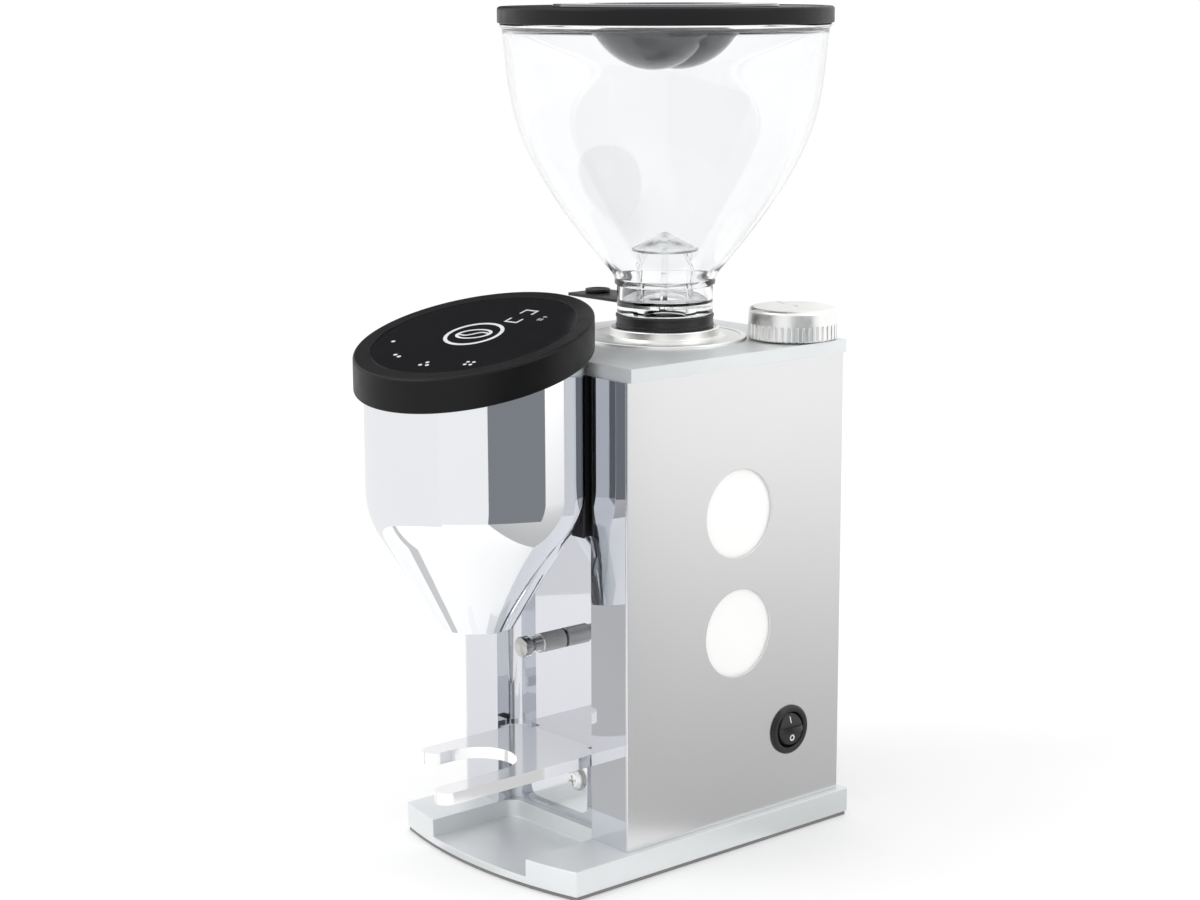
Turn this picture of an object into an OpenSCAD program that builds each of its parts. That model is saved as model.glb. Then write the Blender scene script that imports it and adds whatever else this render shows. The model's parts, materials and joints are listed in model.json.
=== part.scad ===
/* [Case] */
// Width of the case over its side panels
case_w = 127.4; // [118:0.2:160]
// Depth of the case from the front columns to the rear panel
case_d = 146.9; // [142:0.1:185]
// Height of the case between the base plate and the cover plate
case_h = 232; // [228:1:290]
// Thickness of the case sheets
sheet = 1.5; // [1:0.1:2]
// Width of each front column
column_w = 26.8; // [22:0.1:29]
// Depth of the recess between the front columns
recess_depth = 12.9; // [8:0.1:16]
// Radius of the bend in the recess's inner corners
recess_bend = 6; // [3:0.5:8]

/* [Base] */
// Thickness of the base plate
base_h = 12.7; // [9:0.1:18]
// Thickness of the rubber sole
sole_h = 2; // [1:0.5:4]
// How far the base stands out past each side panel
base_margin = 3.8; // [2:0.1:8]
// How far the base reaches in front of the columns
base_apron = 36; // [30:1:60]
// How far the base stands out behind the rear panel
base_heel = 4.3; // [2:0.1:10]
// How far the middle of the front edge bows out
base_bow = 9.5; // [4:0.5:16]
// Depth of the pocket in the apron
pocket_depth = 9; // [3:0.5:9]
// How far the pocket runs in from the apron's straight front
pocket_len = 45; // [30:1:48]

/* [Cover] */
// Thickness of the cover plate
cover_h = 6.6; // [4:0.1:10]
// How far the cover overhangs each side panel
cover_lap = 1.7; // [0.5:0.1:4]
// Radius of the burr flange
flange_r = 41.7; // [36:0.1:48]
// Radius of the raised ring on the burr flange
flange_ring_r = 27.8; // [26:0.1:32]
// Height of the raised ring above the cover
flange_ring_h = 6.2; // [3:0.1:12]
// Height of the collar ring under the hopper
collar_h = 6.5; // [4:0.1:12]

/* [Hopper] */
// Outer radius of the hopper at its rim
hopper_r = 82; // [70:0.5:90]
// Height of the bell above the neck
bell_h = 127.5; // [90:0.5:160]
// Outer radius of the neck
neck_r = 24.4; // [23:0.1:27]
// Height of the neck
neck_h = 18; // [16:0.5:24]
// Wall of the hopper
hopper_wall = 2.5; // [2:0.1:3]
// Radius of the throat that the gate closes
throat_r = 10.8; // [9:0.1:11]
// How far the hopper's axis sits behind the columns
hopper_setback = 82.1; // [75:0.1:90]

/* [Lid] */
// Height of the lid's rim
lid_h = 8.2; // [6:0.1:12]
// How far the lid's rim stands out past the hopper
lid_lap = 1.8; // [0.8:0.1:4]
// Radius of the scooped dish
dish_r = 38.7; // [30:0.1:45]
// Depth of the scooped dish
dish_depth = 32; // [20:0.5:38]
// Outer radius of the flange round the dish
dish_flange_r = 56.5; // [48:0.5:64]

/* [Gate] */
// Width of the gate slide
gate_w = 25; // [23:0.5:26]
// Thickness of the gate slide
gate_t = 1.6; // [1.2:0.1:2]
// How far the gate's tip stands out from the hopper's axis when open
gate_reach = 61.3; // [56:0.1:70]

/* [Spout] */
// How far the spout's axis stands in front of the columns
spout_reach = 41.2; // [38:0.1:50]
// Outer radius of the spout shell
spout_r = 53; // [48:0.5:55]
// Wall of the spout shell
spout_wall = 1.5; // [1:0.1:2.5]
// Outer radius of the outlet
outlet_r = 18; // [14:0.5:24]
// Height of the outlet above the base plate
outlet_clear = 109.3; // [100:0.5:130]
// Half angle of the cone
cone_angle = 31.6; // [26:0.1:36]
// Height of the spout's back block above the base plate
block_clear = 152.8; // [148:0.5:160]

/* [Control cap] */
// Radius of the control cap
cap_r = 57.7; // [56:0.1:62]
// Radius of the touch glass
glass_r = 49.5; // [46:0.1:50]
// Tilt of the cap's face
cap_tilt = 13.6; // [5:0.1:15]
// How far the cap's tilt is turned about the spout
cap_turn = 9.4; // [0:0.1:10]
// Thickness of the cap
cap_h = 15.8; // [14:0.1:20]
// Height of the middle of the cap's face above the cover plate
cap_rise = 14.2; // [13:0.1:22]

/* [Fork] */
// Thickness of the fork plate
fork_t = 6; // [4:0.5:8]
// Height of the fork's top face above the base plate
fork_clear = 41.3; // [36:0.5:60]
// Radius of the fork's slot
fork_slot_r = 20; // [16:0.5:21]
// Gap between the fork and each side of the recess
fork_side_gap = 4.9; // [2:0.1:8]
// Reach of the prong on the switch side, from the recess wall
fork_long = 100; // [80:1:105]
// Reach of the other prong, from the recess wall
fork_short = 68.7; // [62:0.1:95]
// Height of the rest pin above the base plate
pin_clear = 93; // [80:1:100]
// Reach of the rest pin from the recess wall
pin_reach = 27.5; // [22:0.5:32]

/* [Knob] */
// Radius of the adjustment knob
knob_r = 22.8; // [18:0.1:23]
// Height of the adjustment knob
knob_h = 15.8; // [10:0.1:20]
// Number of flutes round the knob
knob_flutes = 40; // [24:1:60]

/* [Motor] */
// Radius of the motor can
motor_r = 44; // [40:0.5:46]
// Length of the motor can
motor_l = 96; // [80:1:100]
// Radius of the motor shaft
shaft_r = 5; // [4:0.1:6]
// Outer radius of the burrs
burr_r = 27.5; // [24:0.5:30]
// Gap between the two burrs
burr_gap = 0.6; // [0.3:0.1:1.2]

/* [Windows and switch] */
// Radius of the side windows
window_r = 22.4; // [18:0.1:26]
// Height of the upper window's middle above the base plate
window_high = 158.3; // [150:0.5:200]
// Height of the lower window's middle above the base plate
window_low = 97.3; // [70:0.5:100]
// Radius of the switch bezel
switch_r = 12.8; // [11:0.1:14]
// Height of the switch above the base plate
switch_clear = 39.7; // [30:0.5:60]

/* [Clearances] */
// Radial clearance of a shaft or bush that turns
run_fit = 0.05; // [0.02:0.01:0.1]
// Gap between pieces that slide past each other
slide_fit = 0.3; // [0.3:0.05:0.5]
// Gap round a piece that passes through a sheet
pass_gap = 0.4; // [0.3:0.1:1]
// Play between the teeth of the adjustment gears
tooth_play = 0.4; // [0.3:0.05:0.6]

/* [Hidden] */
$fn = 96;
eps = 0.01;
big = 400;

// heights
base_top = sole_h + base_h;
case_top = base_top + case_h;
cover_top = case_top + cover_h;
ring_top = cover_top + flange_ring_h;
neck_z = ring_top + collar_h;
bell_z = neck_z + neck_h;
rim_z = bell_z + bell_h;
lid_top = rim_z + lid_h;

// depths, from the middle of the base
base_len = case_d + base_apron + base_heel;
case_rear = base_len / 2 - base_heel;
case_front = case_rear - case_d;
recess_y = case_front + recess_depth;
hopper_y = case_front + hopper_setback;
spout_y = case_front - spout_reach;

// widths
half_w = case_w / 2;
inner_w = half_w - sheet;
base_half = half_w + base_margin;
cover_half = half_w + cover_lap;
recess_half = half_w - column_w;
bow_r = (base_half * base_half + base_bow * base_bow) / (2 * base_bow);

// the grinding head hangs from the top of the case
deck_t = 4;
head_room = 37.7;
deck_top = case_top - head_room;
deck_low = deck_top - deck_t;
chamber_r = 44;
chamber_bore = 40;
chamber_h = 27;
chamber_floor = 4;
chamber_top = deck_top + chamber_h;
disc_z = deck_top + chamber_floor + 1;
disc_h = 5;
burr_h = 5;
burr_eye = 14;
lower_burr_z = disc_z + disc_h;
upper_burr_z = lower_burr_z + burr_h + burr_gap;
carrier_z = upper_burr_z + burr_h;
eye_r = 16;
eye_wall = 3;
gear_z = chamber_top + 0.5;
gear_h = 6;

// adjustment gears
tooth_module = 1.25;
ring_teeth = 82;
pinion_teeth = 22;
knob_angle = 45;
knob_dist = tooth_module * (ring_teeth + pinion_teeth) / 2;
knob_x = knob_dist * cos(knob_angle);
knob_y = hopper_y + knob_dist * sin(knob_angle);
adjust_r = 4;
flange_t = 1.7;
knob_gap = 0.8;
knob_z = cover_top + knob_gap;
knob_hub_r = 12;

// motor
bell_t = 8;
motor_top = deck_low - bell_t;
motor_low = motor_top - motor_l;
bearing_r = 13;
bearing_h = 7;
rotor_r = 25;
rotor_h = 50;
air_gap = 0.4;
rotor_z = motor_low + (motor_l - rotor_h) / 2;
stator_wall = 2;
coil_h = 13;
fan_h = 10;
fan_z = motor_low - bell_t - 3 - fan_h;
fan_r = 40;
shaft_top = lower_burr_z + 3;
shaft_low = fan_z - 2;

// screws
screw_r = 2;
screw_l = 14;
head_r = 3.8;
head_h = 3;
panel_screw_l = 6;
lip_l = 12;
post = 10;
post_x = inner_w - post - 2.2;
front_post_y = case_front + 7.6;
rear_post_y = case_rear - sheet - post / 2;
bolt_ring = 30;
standoff_r = 4.5;
standoff_x = inner_w - standoff_r - 3.7;

// hopper's neck and gate
seat_h = 6;
gate_z = neck_z + seat_h - slide_fit - gate_t;
channel_low = gate_z - slide_fit;
seat_top = neck_z + seat_h;
spigot_r = 18;
spigot_bore = 15.5;
spigot_l = 14;
grip_r = 6.6;
grip_h = 2;
grip_x = -gate_reach + 9.3;
gate_in = -throat_r + 0.9;
guard_post = 12.8;
guard_post_r = 1.3;
guard_eave_z = bell_z + 14.5;
guard_eave_r = 16.9;
guard_roof_h = 9.5;

// spout
cone_z = base_top + outlet_clear;
blend_r = 40;
corner_z = cone_z + (spout_r - outlet_r) / tan(cone_angle);
blend_len = blend_r * tan(cone_angle / 2);
block_z = base_top + block_clear;
block_half = recess_half - 2.9;
back_y = case_front - 3.4;
back_plate = 1.5;
chute_w = 26;
chute_h = 17;
chute_wall = 2;
chute_z = deck_top + 2;
chute_end = spout_y + 15;
boss_y = hopper_y - chamber_r - 4.5;

// control cap
cap_z = cover_top + cap_rise;
glass_t = 2;
cap_web = 2;
shell_in = 10;

// fork and pin
fork_top = base_top + fork_clear;
fork_low = fork_top - fork_t;
fork_half = recess_half - fork_side_gap;
prong_w = fork_half - fork_slot_r;
slot_y = recess_y - 55.8;
tab_half = 22;
tab_low = base_top + 6;
tab_t = 3;
fork_screw_x = 15;
fork_screw_z = base_top + 23.3;
washer_t = 0.8;
pin_z = base_top + pin_clear;
pin_r = 4;
pin_head_r = 5.2;
pin_sleeve_r = 4.9;

// switch and inlet
switch_y = case_rear - 36.3;
switch_z = base_top + switch_clear;
bezel_t = 2;
rocker_r = 9;
rocker_x = half_w - 2.5;
rocker_throw = 16;
inlet_z = base_top + 32;
inlet_w = 28;
inlet_h = 22;
inlet_depth = 24;

// windows
window_y = case_rear - 72.6;
disc_lap = 2.6;
disc_t = 1.2;
board_x = -inner_w + 10;
bell_steps = 22;
// pull of the bell's curve at the neck and at the rim, as shares of its width and height
bell_low = [1.02, 0.536];
bell_high = [0.91, 0.687];

// box between two corners
module block(low, high) {
    translate(low) cube(high - low);
}

// tube or disc standing on z0
module tube(r_out, r_in, z0, z1) {
    difference() {
        translate([0, 0, z0]) cylinder(r = r_out, h = z1 - z0);
        translate([0, 0, z0 - 1]) cylinder(r = r_in, h = z1 - z0 + 2);
    }
}

module at_hopper() {
    translate([0, hopper_y, 0]) children();
}

module at_knob() {
    translate([knob_x, knob_y, 0]) children();
}

module at_spout() {
    translate([0, spout_y, 0]) children();
}

// slab of the cap's tilted face, between two depths below it
module cap_slab(deep, shallow) {
    translate([0, spout_y, cap_z]) rotate([0, 0, cap_turn]) rotate([cap_tilt, 0, 0])
        block([-big, -big, -deep], [big, big, -shallow]);
}

module upright(r, z0, z1) {
    translate([0, 0, z0]) cylinder(r = r, h = z1 - z0);
}

// pan screw whose head sits on z = 0 and whose shank goes down
module screw() {
    upright(head_r, 0, head_h);
    upright(screw_r, -screw_l, eps);
}

module post_places() {
    for (side = [-1, 1]) {
        translate([side * post_x, front_post_y, 0]) children();
        translate([side * (post_x + 5), rear_post_y, 0]) children();
    }
}

module standoff_places() {
    translate([-standoff_x, hopper_y - 44, 0]) children();
    translate([standoff_x, hopper_y - 44, 0]) children();
    translate([-standoff_x, hopper_y + 42, 0]) children();
    translate([standoff_x + 2.5, hopper_y + 18, 0]) children();
}

module chamber_bolt_places() {
    for (i = [0:3])
        rotate([0, 0, 45 + 90 * i]) translate([bolt_ring, 0, 0]) children();
}

// outline of the base, bowed at the front
module base_body(z0, z1, inset) {
    intersection() {
        block([-base_half + inset, -base_len / 2 - base_bow + inset, z0],
              [base_half - inset, base_len / 2 - inset, z1]);
        translate([0, bow_r - base_len / 2 - base_bow + inset, z0 - 1])
            cylinder(r = bow_r, h = z1 - z0 + 2);
    }
}

module base_plate() {
    pocket_r = 8;
    pocket_back = -base_len / 2 + pocket_len;
    pocket_z = base_top - pocket_depth;
    color("gainsboro") difference() {
        base_body(sole_h, base_top, 0);
        block([-recess_half, -base_len, pocket_z], [recess_half, pocket_back - pocket_r, base_top + 1]);
        block([-recess_half + pocket_r, -base_len, pocket_z],
              [recess_half - pocket_r, pocket_back, base_top + 1]);
        for (side = [-1, 1])
            translate([side * (recess_half - pocket_r), pocket_back - pocket_r, 0])
                upright(pocket_r, pocket_z, base_top + 1);
        post_places() {
            upright(screw_r + 0.2, 0, big);
            upright(head_r + pass_gap, 0, sole_h + head_h + 1.5);
        }
    }
}

module sole_pad() {
    color("dimgray") difference() {
        base_body(0, sole_h, 0.8);
        post_places() upright(head_r + pass_gap, -1, sole_h + 1);
    }
}

module frame_posts() {
    color("silver") difference() {
        post_places() block([-post / 2, -post / 2, base_top], [post / 2, post / 2, deck_low]);
        post_places() {
            upright(screw_r, base_top - 1, base_top + screw_l);
            upright(screw_r, deck_low - screw_l, deck_low + 1);
        }
        panel_screw_places() upright(screw_r, -panel_screw_l, 1);
    }
}

module frame_screws() {
    color("dimgray") post_places() {
        translate([0, 0, sole_h + head_h + 1.5]) mirror([0, 0, 1]) screw();
        translate([0, 0, deck_top]) screw();
    }
}

module motor_deck() {
    edge = 0.3;
    color("silver") difference() {
        block([-inner_w + edge, case_front + sheet + edge, deck_low],
              [inner_w - edge, case_rear - sheet - edge, deck_top]);
        block([-recess_half - sheet - edge, case_front - 1, deck_low - 1],
              [recess_half + sheet + edge, recess_y + sheet + edge, deck_top + 1]);
        for (side = [-1, 1])
            translate([side * inner_w, 0, 0])
                block([-sheet - edge, case_front, deck_low - 1],
                      [sheet + edge, case_front + lip_l + edge, deck_top + 1]);
        post_places() upright(screw_r + 0.2, 0, big);
        standoff_places() upright(screw_r + 0.2, 0, big);
        at_hopper() {
            upright(shaft_r + 3, deck_low - 1, deck_top + 1);
            chamber_bolt_places() upright(screw_r, 0, big);
        }
    }
}

// bent sheet: two columns with the recess between them
module front_sheet() {
    bend = recess_bend;
    for (side = [-1, 1]) mirror([side < 0 ? 1 : 0, 0, 0]) {
        block([recess_half, case_front, base_top], [inner_w, case_front + sheet, case_top]);
        block([recess_half, case_front, base_top],
              [recess_half + sheet, recess_y - bend, case_top]);
        block([inner_w - sheet, case_front, base_top],
              [inner_w, case_front + lip_l, case_top]);
        block([-eps, recess_y, base_top], [recess_half - bend, recess_y + sheet, case_top]);
        intersection() {
            translate([recess_half - bend, recess_y - bend, 0])
                tube(bend + sheet, bend, base_top, case_top);
            block([recess_half - bend, recess_y - bend, base_top],
                  [recess_half + sheet, recess_y + sheet, case_top]);
        }
    }
}

module front_panel() {
    color("whitesmoke") difference() {
        front_sheet();
        block([-chute_w / 2 - pass_gap, recess_y - 1, chute_z - pass_gap],
              [chute_w / 2 + pass_gap, recess_y + sheet + 1, chute_z + chute_h + pass_gap]);
        for (side = [-1, 1])
            translate([side * fork_screw_x, 0, fork_screw_z]) rotate([90, 0, 0])
                cylinder(r = screw_r, h = big, center = true);
        translate([0, recess_y + 5, pin_z]) rotate([90, 0, 0]) cylinder(r = pin_r + pass_gap, h = 10);
    }
}

module rear_panel() {
    slot_half = 34;
    slot_pitch = 8;
    vent_z = base_top + 96;
    color("silver") difference() {
        block([-inner_w, case_rear - sheet, base_top], [inner_w, case_rear, case_top]);
        for (i = [0:9])
            block([-slot_half, case_rear - 5, vent_z + i * slot_pitch],
                  [slot_half, case_rear + 5, vent_z + i * slot_pitch + 3]);
        block([-inlet_w / 2, case_rear - 5, inlet_z - inlet_h / 2],
              [inlet_w / 2, case_rear + 5, inlet_z + inlet_h / 2]);
        panel_screw_places() upright(screw_r + 0.2, -20, 20);
    }
}

module panel_screw_places() {
    for (side = [-1, 1]) {
        for (z = [base_top + 24, case_top - 62])
            translate([side * (post_x + 5), case_rear, z]) rotate([-90, 0, 0]) children();
        translate([side * (inlet_w / 2 + 7), case_rear + 2, inlet_z]) rotate([-90, 0, 0]) children();
    }
}

module panel_screws() {
    color("dimgray") panel_screw_places() {
        upright(head_r - 0.6, 0, 2);
        upright(screw_r, -panel_screw_l, eps);
    }
}

module side_sheet() {
    difference() {
        block([inner_w, case_front, base_top], [half_w, case_rear, case_top]);
        for (z = [window_high, window_low])
            translate([half_w, window_y, base_top + z]) rotate([0, 90, 0])
                cylinder(r = window_r, h = 20, center = true);
    }
}

module side_panel_right() {
    color("silver") difference() {
        side_sheet();
        translate([half_w, switch_y, switch_z]) rotate([0, 90, 0])
            cylinder(r = rocker_r + 1.6, h = 20, center = true);
    }
}

module side_panel_left() {
    color("silver") mirror([1, 0, 0]) side_sheet();
}

module window_discs() {
    for (z = [window_high, window_low])
        translate([inner_w - disc_t, window_y, base_top + z]) rotate([0, 90, 0])
            cylinder(r = window_r + disc_lap, h = disc_t);
}

module window_discs_right() {
    color("white") window_discs();
}

module window_discs_left() {
    color("white") mirror([1, 0, 0]) window_discs();
}

module cover_plate() {
    color("gainsboro") difference() {
        block([-cover_half, case_front + 1, case_top], [cover_half, case_rear + 0.3, cover_top]);
        at_hopper() upright(flange_ring_r + 2, case_top - 1, cover_top + 1);
        at_knob() upright(adjust_r + 4, case_top - 1, cover_top + 1);
        standoff_places() upright(screw_r, case_top - 1, case_top + 4);
    }
}

module cover_standoffs() {
    color("silver") standoff_places() tube(standoff_r, screw_r + 0.2, deck_top, case_top);
}

module cover_bolts() {
    color("dimgray") standoff_places() {
        upright(head_r, deck_low - head_h, deck_low);
        upright(screw_r, deck_low - eps, case_top + 4);
    }
}

module motor_can() {
    color("dimgray") at_hopper() tube(motor_r, motor_r - stator_wall, motor_low, motor_top);
}

module motor_end_bells() {
    color("darkgray") at_hopper() {
        difference() {
            upright(motor_r, motor_top, deck_low);
            upright(shaft_r + 3, motor_top - 1, deck_low + 1);
            upright(bearing_r, motor_top - 1, motor_top + bearing_h);
            chamber_bolt_places() upright(screw_r, motor_top, deck_low + 1);
        }
        difference() {
            upright(motor_r, motor_low - bell_t, motor_low);
            upright(shaft_r + 3, motor_low - bell_t - 1, motor_low + 1);
            upright(bearing_r, motor_low - bearing_h, motor_low + 1);
        }
    }
}

module motor_bearings() {
    color("silver") at_hopper() {
        tube(bearing_r, shaft_r + run_fit, motor_top, motor_top + bearing_h);
        tube(bearing_r, shaft_r + run_fit, motor_low - bearing_h, motor_low);
    }
}

module motor_stator() {
    color("slategray") at_hopper()
        tube(motor_r - stator_wall, rotor_r + air_gap, rotor_z, rotor_z + rotor_h);
}

module motor_windings() {
    color("peru") at_hopper() {
        tube(motor_r - stator_wall - 3, rotor_r + 2, rotor_z - coil_h, rotor_z);
        tube(motor_r - stator_wall - 3, rotor_r + 2, rotor_z + rotor_h, rotor_z + rotor_h + coil_h);
    }
}

module motor_rotor() {
    color("gray") at_hopper() tube(rotor_r, shaft_r, rotor_z, rotor_z + rotor_h);
}

module motor_shaft() {
    color("lightgray") at_hopper() upright(shaft_r, shaft_low, shaft_top);
}

module cooling_fan() {
    blades = 9;
    hub_r = 14;
    color("black") at_hopper() difference() {
        union() {
            upright(hub_r, fan_z, fan_z + fan_h);
            upright(fan_r, fan_z + fan_h - 1.5, fan_z + fan_h);
            for (i = [0:blades - 1])
                rotate([0, 0, i * 360 / blades])
                    block([hub_r - 1, -1, fan_z], [fan_r, 1, fan_z + fan_h]);
        }
        upright(shaft_r, fan_z - 1, fan_z + fan_h + 1);
    }
}

module grind_chamber() {
    port_w = chute_w - 2 * chute_wall;
    port_z = chute_z + chute_wall;
    port_top = chute_z + chute_h - chute_wall;
    color("lightgray") difference() {
        union() {
            at_hopper() upright(chamber_r, deck_top, chamber_top);
            block([-chute_w / 2 - 2, boss_y, deck_top], [chute_w / 2 + 2, hopper_y, chute_z + chute_h + 2]);
        }
        at_hopper() {
            upright(chamber_bore, deck_top + chamber_floor, chamber_top + 1);
            upright(shaft_r + 1, deck_top - 1, chamber_top);
            chamber_bolt_places() {
                upright(screw_r, deck_top - 1, chamber_top);
                upright(head_r + 0.2, deck_top + chamber_floor - head_h, chamber_top);
            }
        }
        block([-port_w / 2, boss_y - 1, port_z], [port_w / 2, hopper_y - chamber_r + 14, port_top]);
    }
}

module chamber_bolts() {
    color("dimgray") at_hopper() chamber_bolt_places()
        translate([0, 0, deck_top + chamber_floor - head_h]) {
            upright(head_r, 0, head_h);
            upright(screw_r, -11, eps);
        }
}

module lower_burr_carrier() {
    hub_r = 9;
    sweepers = 3;
    color("silver") at_hopper() difference() {
        union() {
            upright(chamber_bore - 2, disc_z, disc_z + disc_h);
            upright(hub_r, disc_z, disc_z + disc_h + 2);
            for (i = [0:sweepers - 1])
                rotate([0, 0, i * 360 / sweepers])
                    block([burr_r + 2, -1.5, disc_z], [chamber_bore - 0.6, 1.5, disc_z + disc_h + 5]);
        }
        upright(shaft_r, disc_z - 1, disc_z + disc_h + 3);
    }
}

// cutting ring with slanted grooves on the face at z1
module burr_ring(z0, z1, cut_z) {
    grooves = 24;
    difference() {
        tube(burr_r, burr_eye, z0, z1);
        for (i = [0:grooves - 1])
            rotate([0, 0, i * 360 / grooves]) translate([burr_eye - 2, 0, cut_z])
                rotate([45, 0, 25]) cube([burr_r + 4, 1.2, 1.2]);
    }
}

module lower_burr() {
    color("gray") at_hopper() burr_ring(lower_burr_z, lower_burr_z + burr_h, lower_burr_z + burr_h - 0.85);
}

module upper_burr() {
    color("gray") at_hopper() burr_ring(upper_burr_z, upper_burr_z + burr_h, upper_burr_z - 0.85);
}

module carrier_nut() {
    nut_r = 7.5;
    nut_z = disc_z + disc_h + 2;
    color("dimgray") at_hopper() difference() {
        translate([0, 0, nut_z]) cylinder(r = nut_r, h = 5, $fn = 6);
        upright(shaft_r, nut_z - 1, shaft_top);
    }
}

// outline of a spur gear, tooth 0 on +X
module gear(teeth, z0, h) {
    pitch_r = teeth * tooth_module / 2;
    step = 360 / teeth;
    tip_r = pitch_r + 0.9 * tooth_module;
    root_r = pitch_r - 1.2 * tooth_module;
    half = (PI * tooth_module / 4 - tooth_play / 2) / pitch_r * 180 / PI;
    lean = tan(20) * tooth_module / pitch_r * 180 / PI;
    points = [for (i = [0:teeth - 1])
        for (p = [[root_r, -half - 1.2 * lean], [tip_r, -half + 0.9 * lean],
                  [tip_r, half - 0.9 * lean], [root_r, half + 1.2 * lean]])
            [p[0] * cos(i * step + p[1]), p[0] * sin(i * step + p[1])]];
    translate([0, 0, z0]) linear_extrude(height = h) polygon(points);
}

module upper_burr_carrier() {
    color("lightgray") at_hopper() difference() {
        union() {
            upright(chamber_bore - run_fit, carrier_z, gear_z);
            rotate([0, 0, knob_angle]) gear(ring_teeth, gear_z, gear_h);
            upright(eye_r + eye_wall, gear_z, cover_top - 3);
        }
        upright(eye_r, carrier_z - 1, cover_top);
    }
}

module adjust_pinion() {
    color("goldenrod") at_knob() difference() {
        rotate([0, 0, knob_angle + 180 + 180 / pinion_teeth]) gear(pinion_teeth, gear_z, gear_h);
        upright(adjust_r, gear_z - 1, gear_z + gear_h + 1);
    }
}

module adjust_shaft() {
    color("silver") at_knob() upright(adjust_r, gear_z - 1, knob_z + knob_h - 4);
}

module adjust_bush() {
    color("goldenrod") at_knob() tube(adjust_r + 4, adjust_r + run_fit, case_top, cover_top);
}

module adjust_knob() {
    chamfer = 2;
    flute_top = knob_z + knob_h * 0.55;
    color("silver") at_knob() difference() {
        rotate_extrude() polygon([
            [0, cover_top + 0.4], [knob_hub_r, cover_top + 0.4], [knob_hub_r, knob_z],
            [knob_r - 0.8, knob_z], [knob_r, knob_z + 0.8],
            [knob_r, knob_z + knob_h - chamfer], [knob_r - chamfer, knob_z + knob_h],
            [0, knob_z + knob_h]]);
        upright(adjust_r, cover_top - 1, knob_z + knob_h - 4);
        for (i = [0:knob_flutes - 1])
            rotate([0, 0, i * 360 / knob_flutes]) translate([knob_r + 0.35, 0, 0])
                upright(0.9, knob_z - 1, flute_top);
    }
}

module burr_flange() {
    color("silver") at_hopper() difference() {
        union() {
            upright(flange_r, cover_top, cover_top + flange_t);
            upright(flange_ring_r, cover_top, ring_top);
            upright(flange_ring_r + 2, case_top - 1, cover_top + eps);
        }
        upright(eye_r + eye_wall + pass_gap, case_top - 2, ring_top + 1);
    }
}

module collar_ring() {
    color("black") at_hopper() tube(neck_r + 0.6, spigot_r, ring_top, neck_z);
}

// point on the bell's outer curve, t from 0 at the neck to 1 at the rim
function bell_point(t) =
    let (w = hopper_r - neck_r,
         p1 = [neck_r + bell_low[0] * w, bell_z + bell_low[1] * bell_h],
         p2 = [neck_r + bell_high[0] * w, bell_z + bell_high[1] * bell_h],
         p0 = [neck_r, bell_z],
         p3 = [hopper_r, rim_z])
    pow(1 - t, 3) * p0 + 3 * pow(1 - t, 2) * t * p1 + 3 * (1 - t) * t * t * p2 + t * t * t * p3;

module hopper() {
    outer = [for (i = [0:bell_steps]) bell_point(i / bell_steps)];
    inner = [for (i = [bell_steps:-1:0]) bell_point(i / bell_steps) - [hopper_wall, 0]];
    neck_bore = neck_r - hopper_wall;
    color("white", 0.3) at_hopper() difference() {
        union() {
            rotate_extrude() polygon(concat(
                [[neck_bore, neck_z], [neck_r, neck_z]], outer,
                inner, [[neck_bore, neck_z]]));
            tube(hopper_r + 0.8, hopper_r - hopper_wall, rim_z - 1.5, rim_z);
            tube(neck_bore + eps, throat_r, neck_z, seat_top);
            tube(spigot_r, spigot_bore, neck_z - spigot_l, neck_z + eps);
        }
        block([-neck_r - 5, -gate_w / 2 - pass_gap, channel_low],
              [throat_r + 3, gate_w / 2 + pass_gap, seat_top + eps]);
    }
}

module hopper_guard() {
    color("white", 0.4) at_hopper() {
        tube(neck_r - hopper_wall - 0.2, throat_r, seat_top, seat_top + 2);
        for (i = [0:3])
            rotate([0, 0, 45 + 90 * i]) translate([guard_post, 0, 0])
                upright(guard_post_r, seat_top + 2 - eps, guard_eave_z + 2);
        rotate_extrude() polygon([
            [0, guard_eave_z + guard_roof_h - 1.5], [guard_eave_r - 2, guard_eave_z],
            [guard_eave_r, guard_eave_z], [0, guard_eave_z + guard_roof_h]]);
    }
}

module gate_slide() {
    color("black") at_hopper() difference() {
        union() {
            block([-gate_reach, -gate_w / 2, gate_z], [gate_in - 3, gate_w / 2, gate_z + gate_t]);
            block([gate_in - 4, -gate_w / 2 + 3, gate_z], [gate_in, gate_w / 2 - 3, gate_z + gate_t]);
            for (side = [-1, 1])
                translate([gate_in - 3, side * (gate_w / 2 - 3), 0]) upright(3, gate_z, gate_z + gate_t);
        }
        translate([grip_x, 0, 0]) upright(screw_r, gate_z - 1, gate_z + gate_t + 1);
    }
}

module gate_grip() {
    color("black") at_hopper() translate([grip_x, 0, 0]) {
        upright(grip_r, gate_z + gate_t, gate_z + gate_t + grip_h);
        upright(screw_r, gate_z, gate_z + gate_t + 1);
    }
}

module lid_rim() {
    round_r = 1.8;
    ledge = 3;
    rim_r = hopper_r + lid_lap;
    color("black") at_hopper() rotate_extrude() polygon([
        [dish_r + 0.5, rim_z + lid_h - 1.5], [dish_r + 0.5, rim_z + 3],
        [dish_r + 2.5, rim_z + 3], [dish_r + 2.5, rim_z + lid_h - 3],
        [hopper_r - 5.5, rim_z + lid_h - 3], [hopper_r - 5.5, rim_z],
        [rim_r, rim_z], [rim_r, lid_top - round_r],
        [rim_r - 0.3 * round_r, lid_top - 0.3 * round_r], [rim_r - round_r, lid_top],
        [dish_r + ledge + 0.2, lid_top], [dish_r + ledge + 0.2, rim_z + lid_h - 1.5]]);
}

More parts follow.
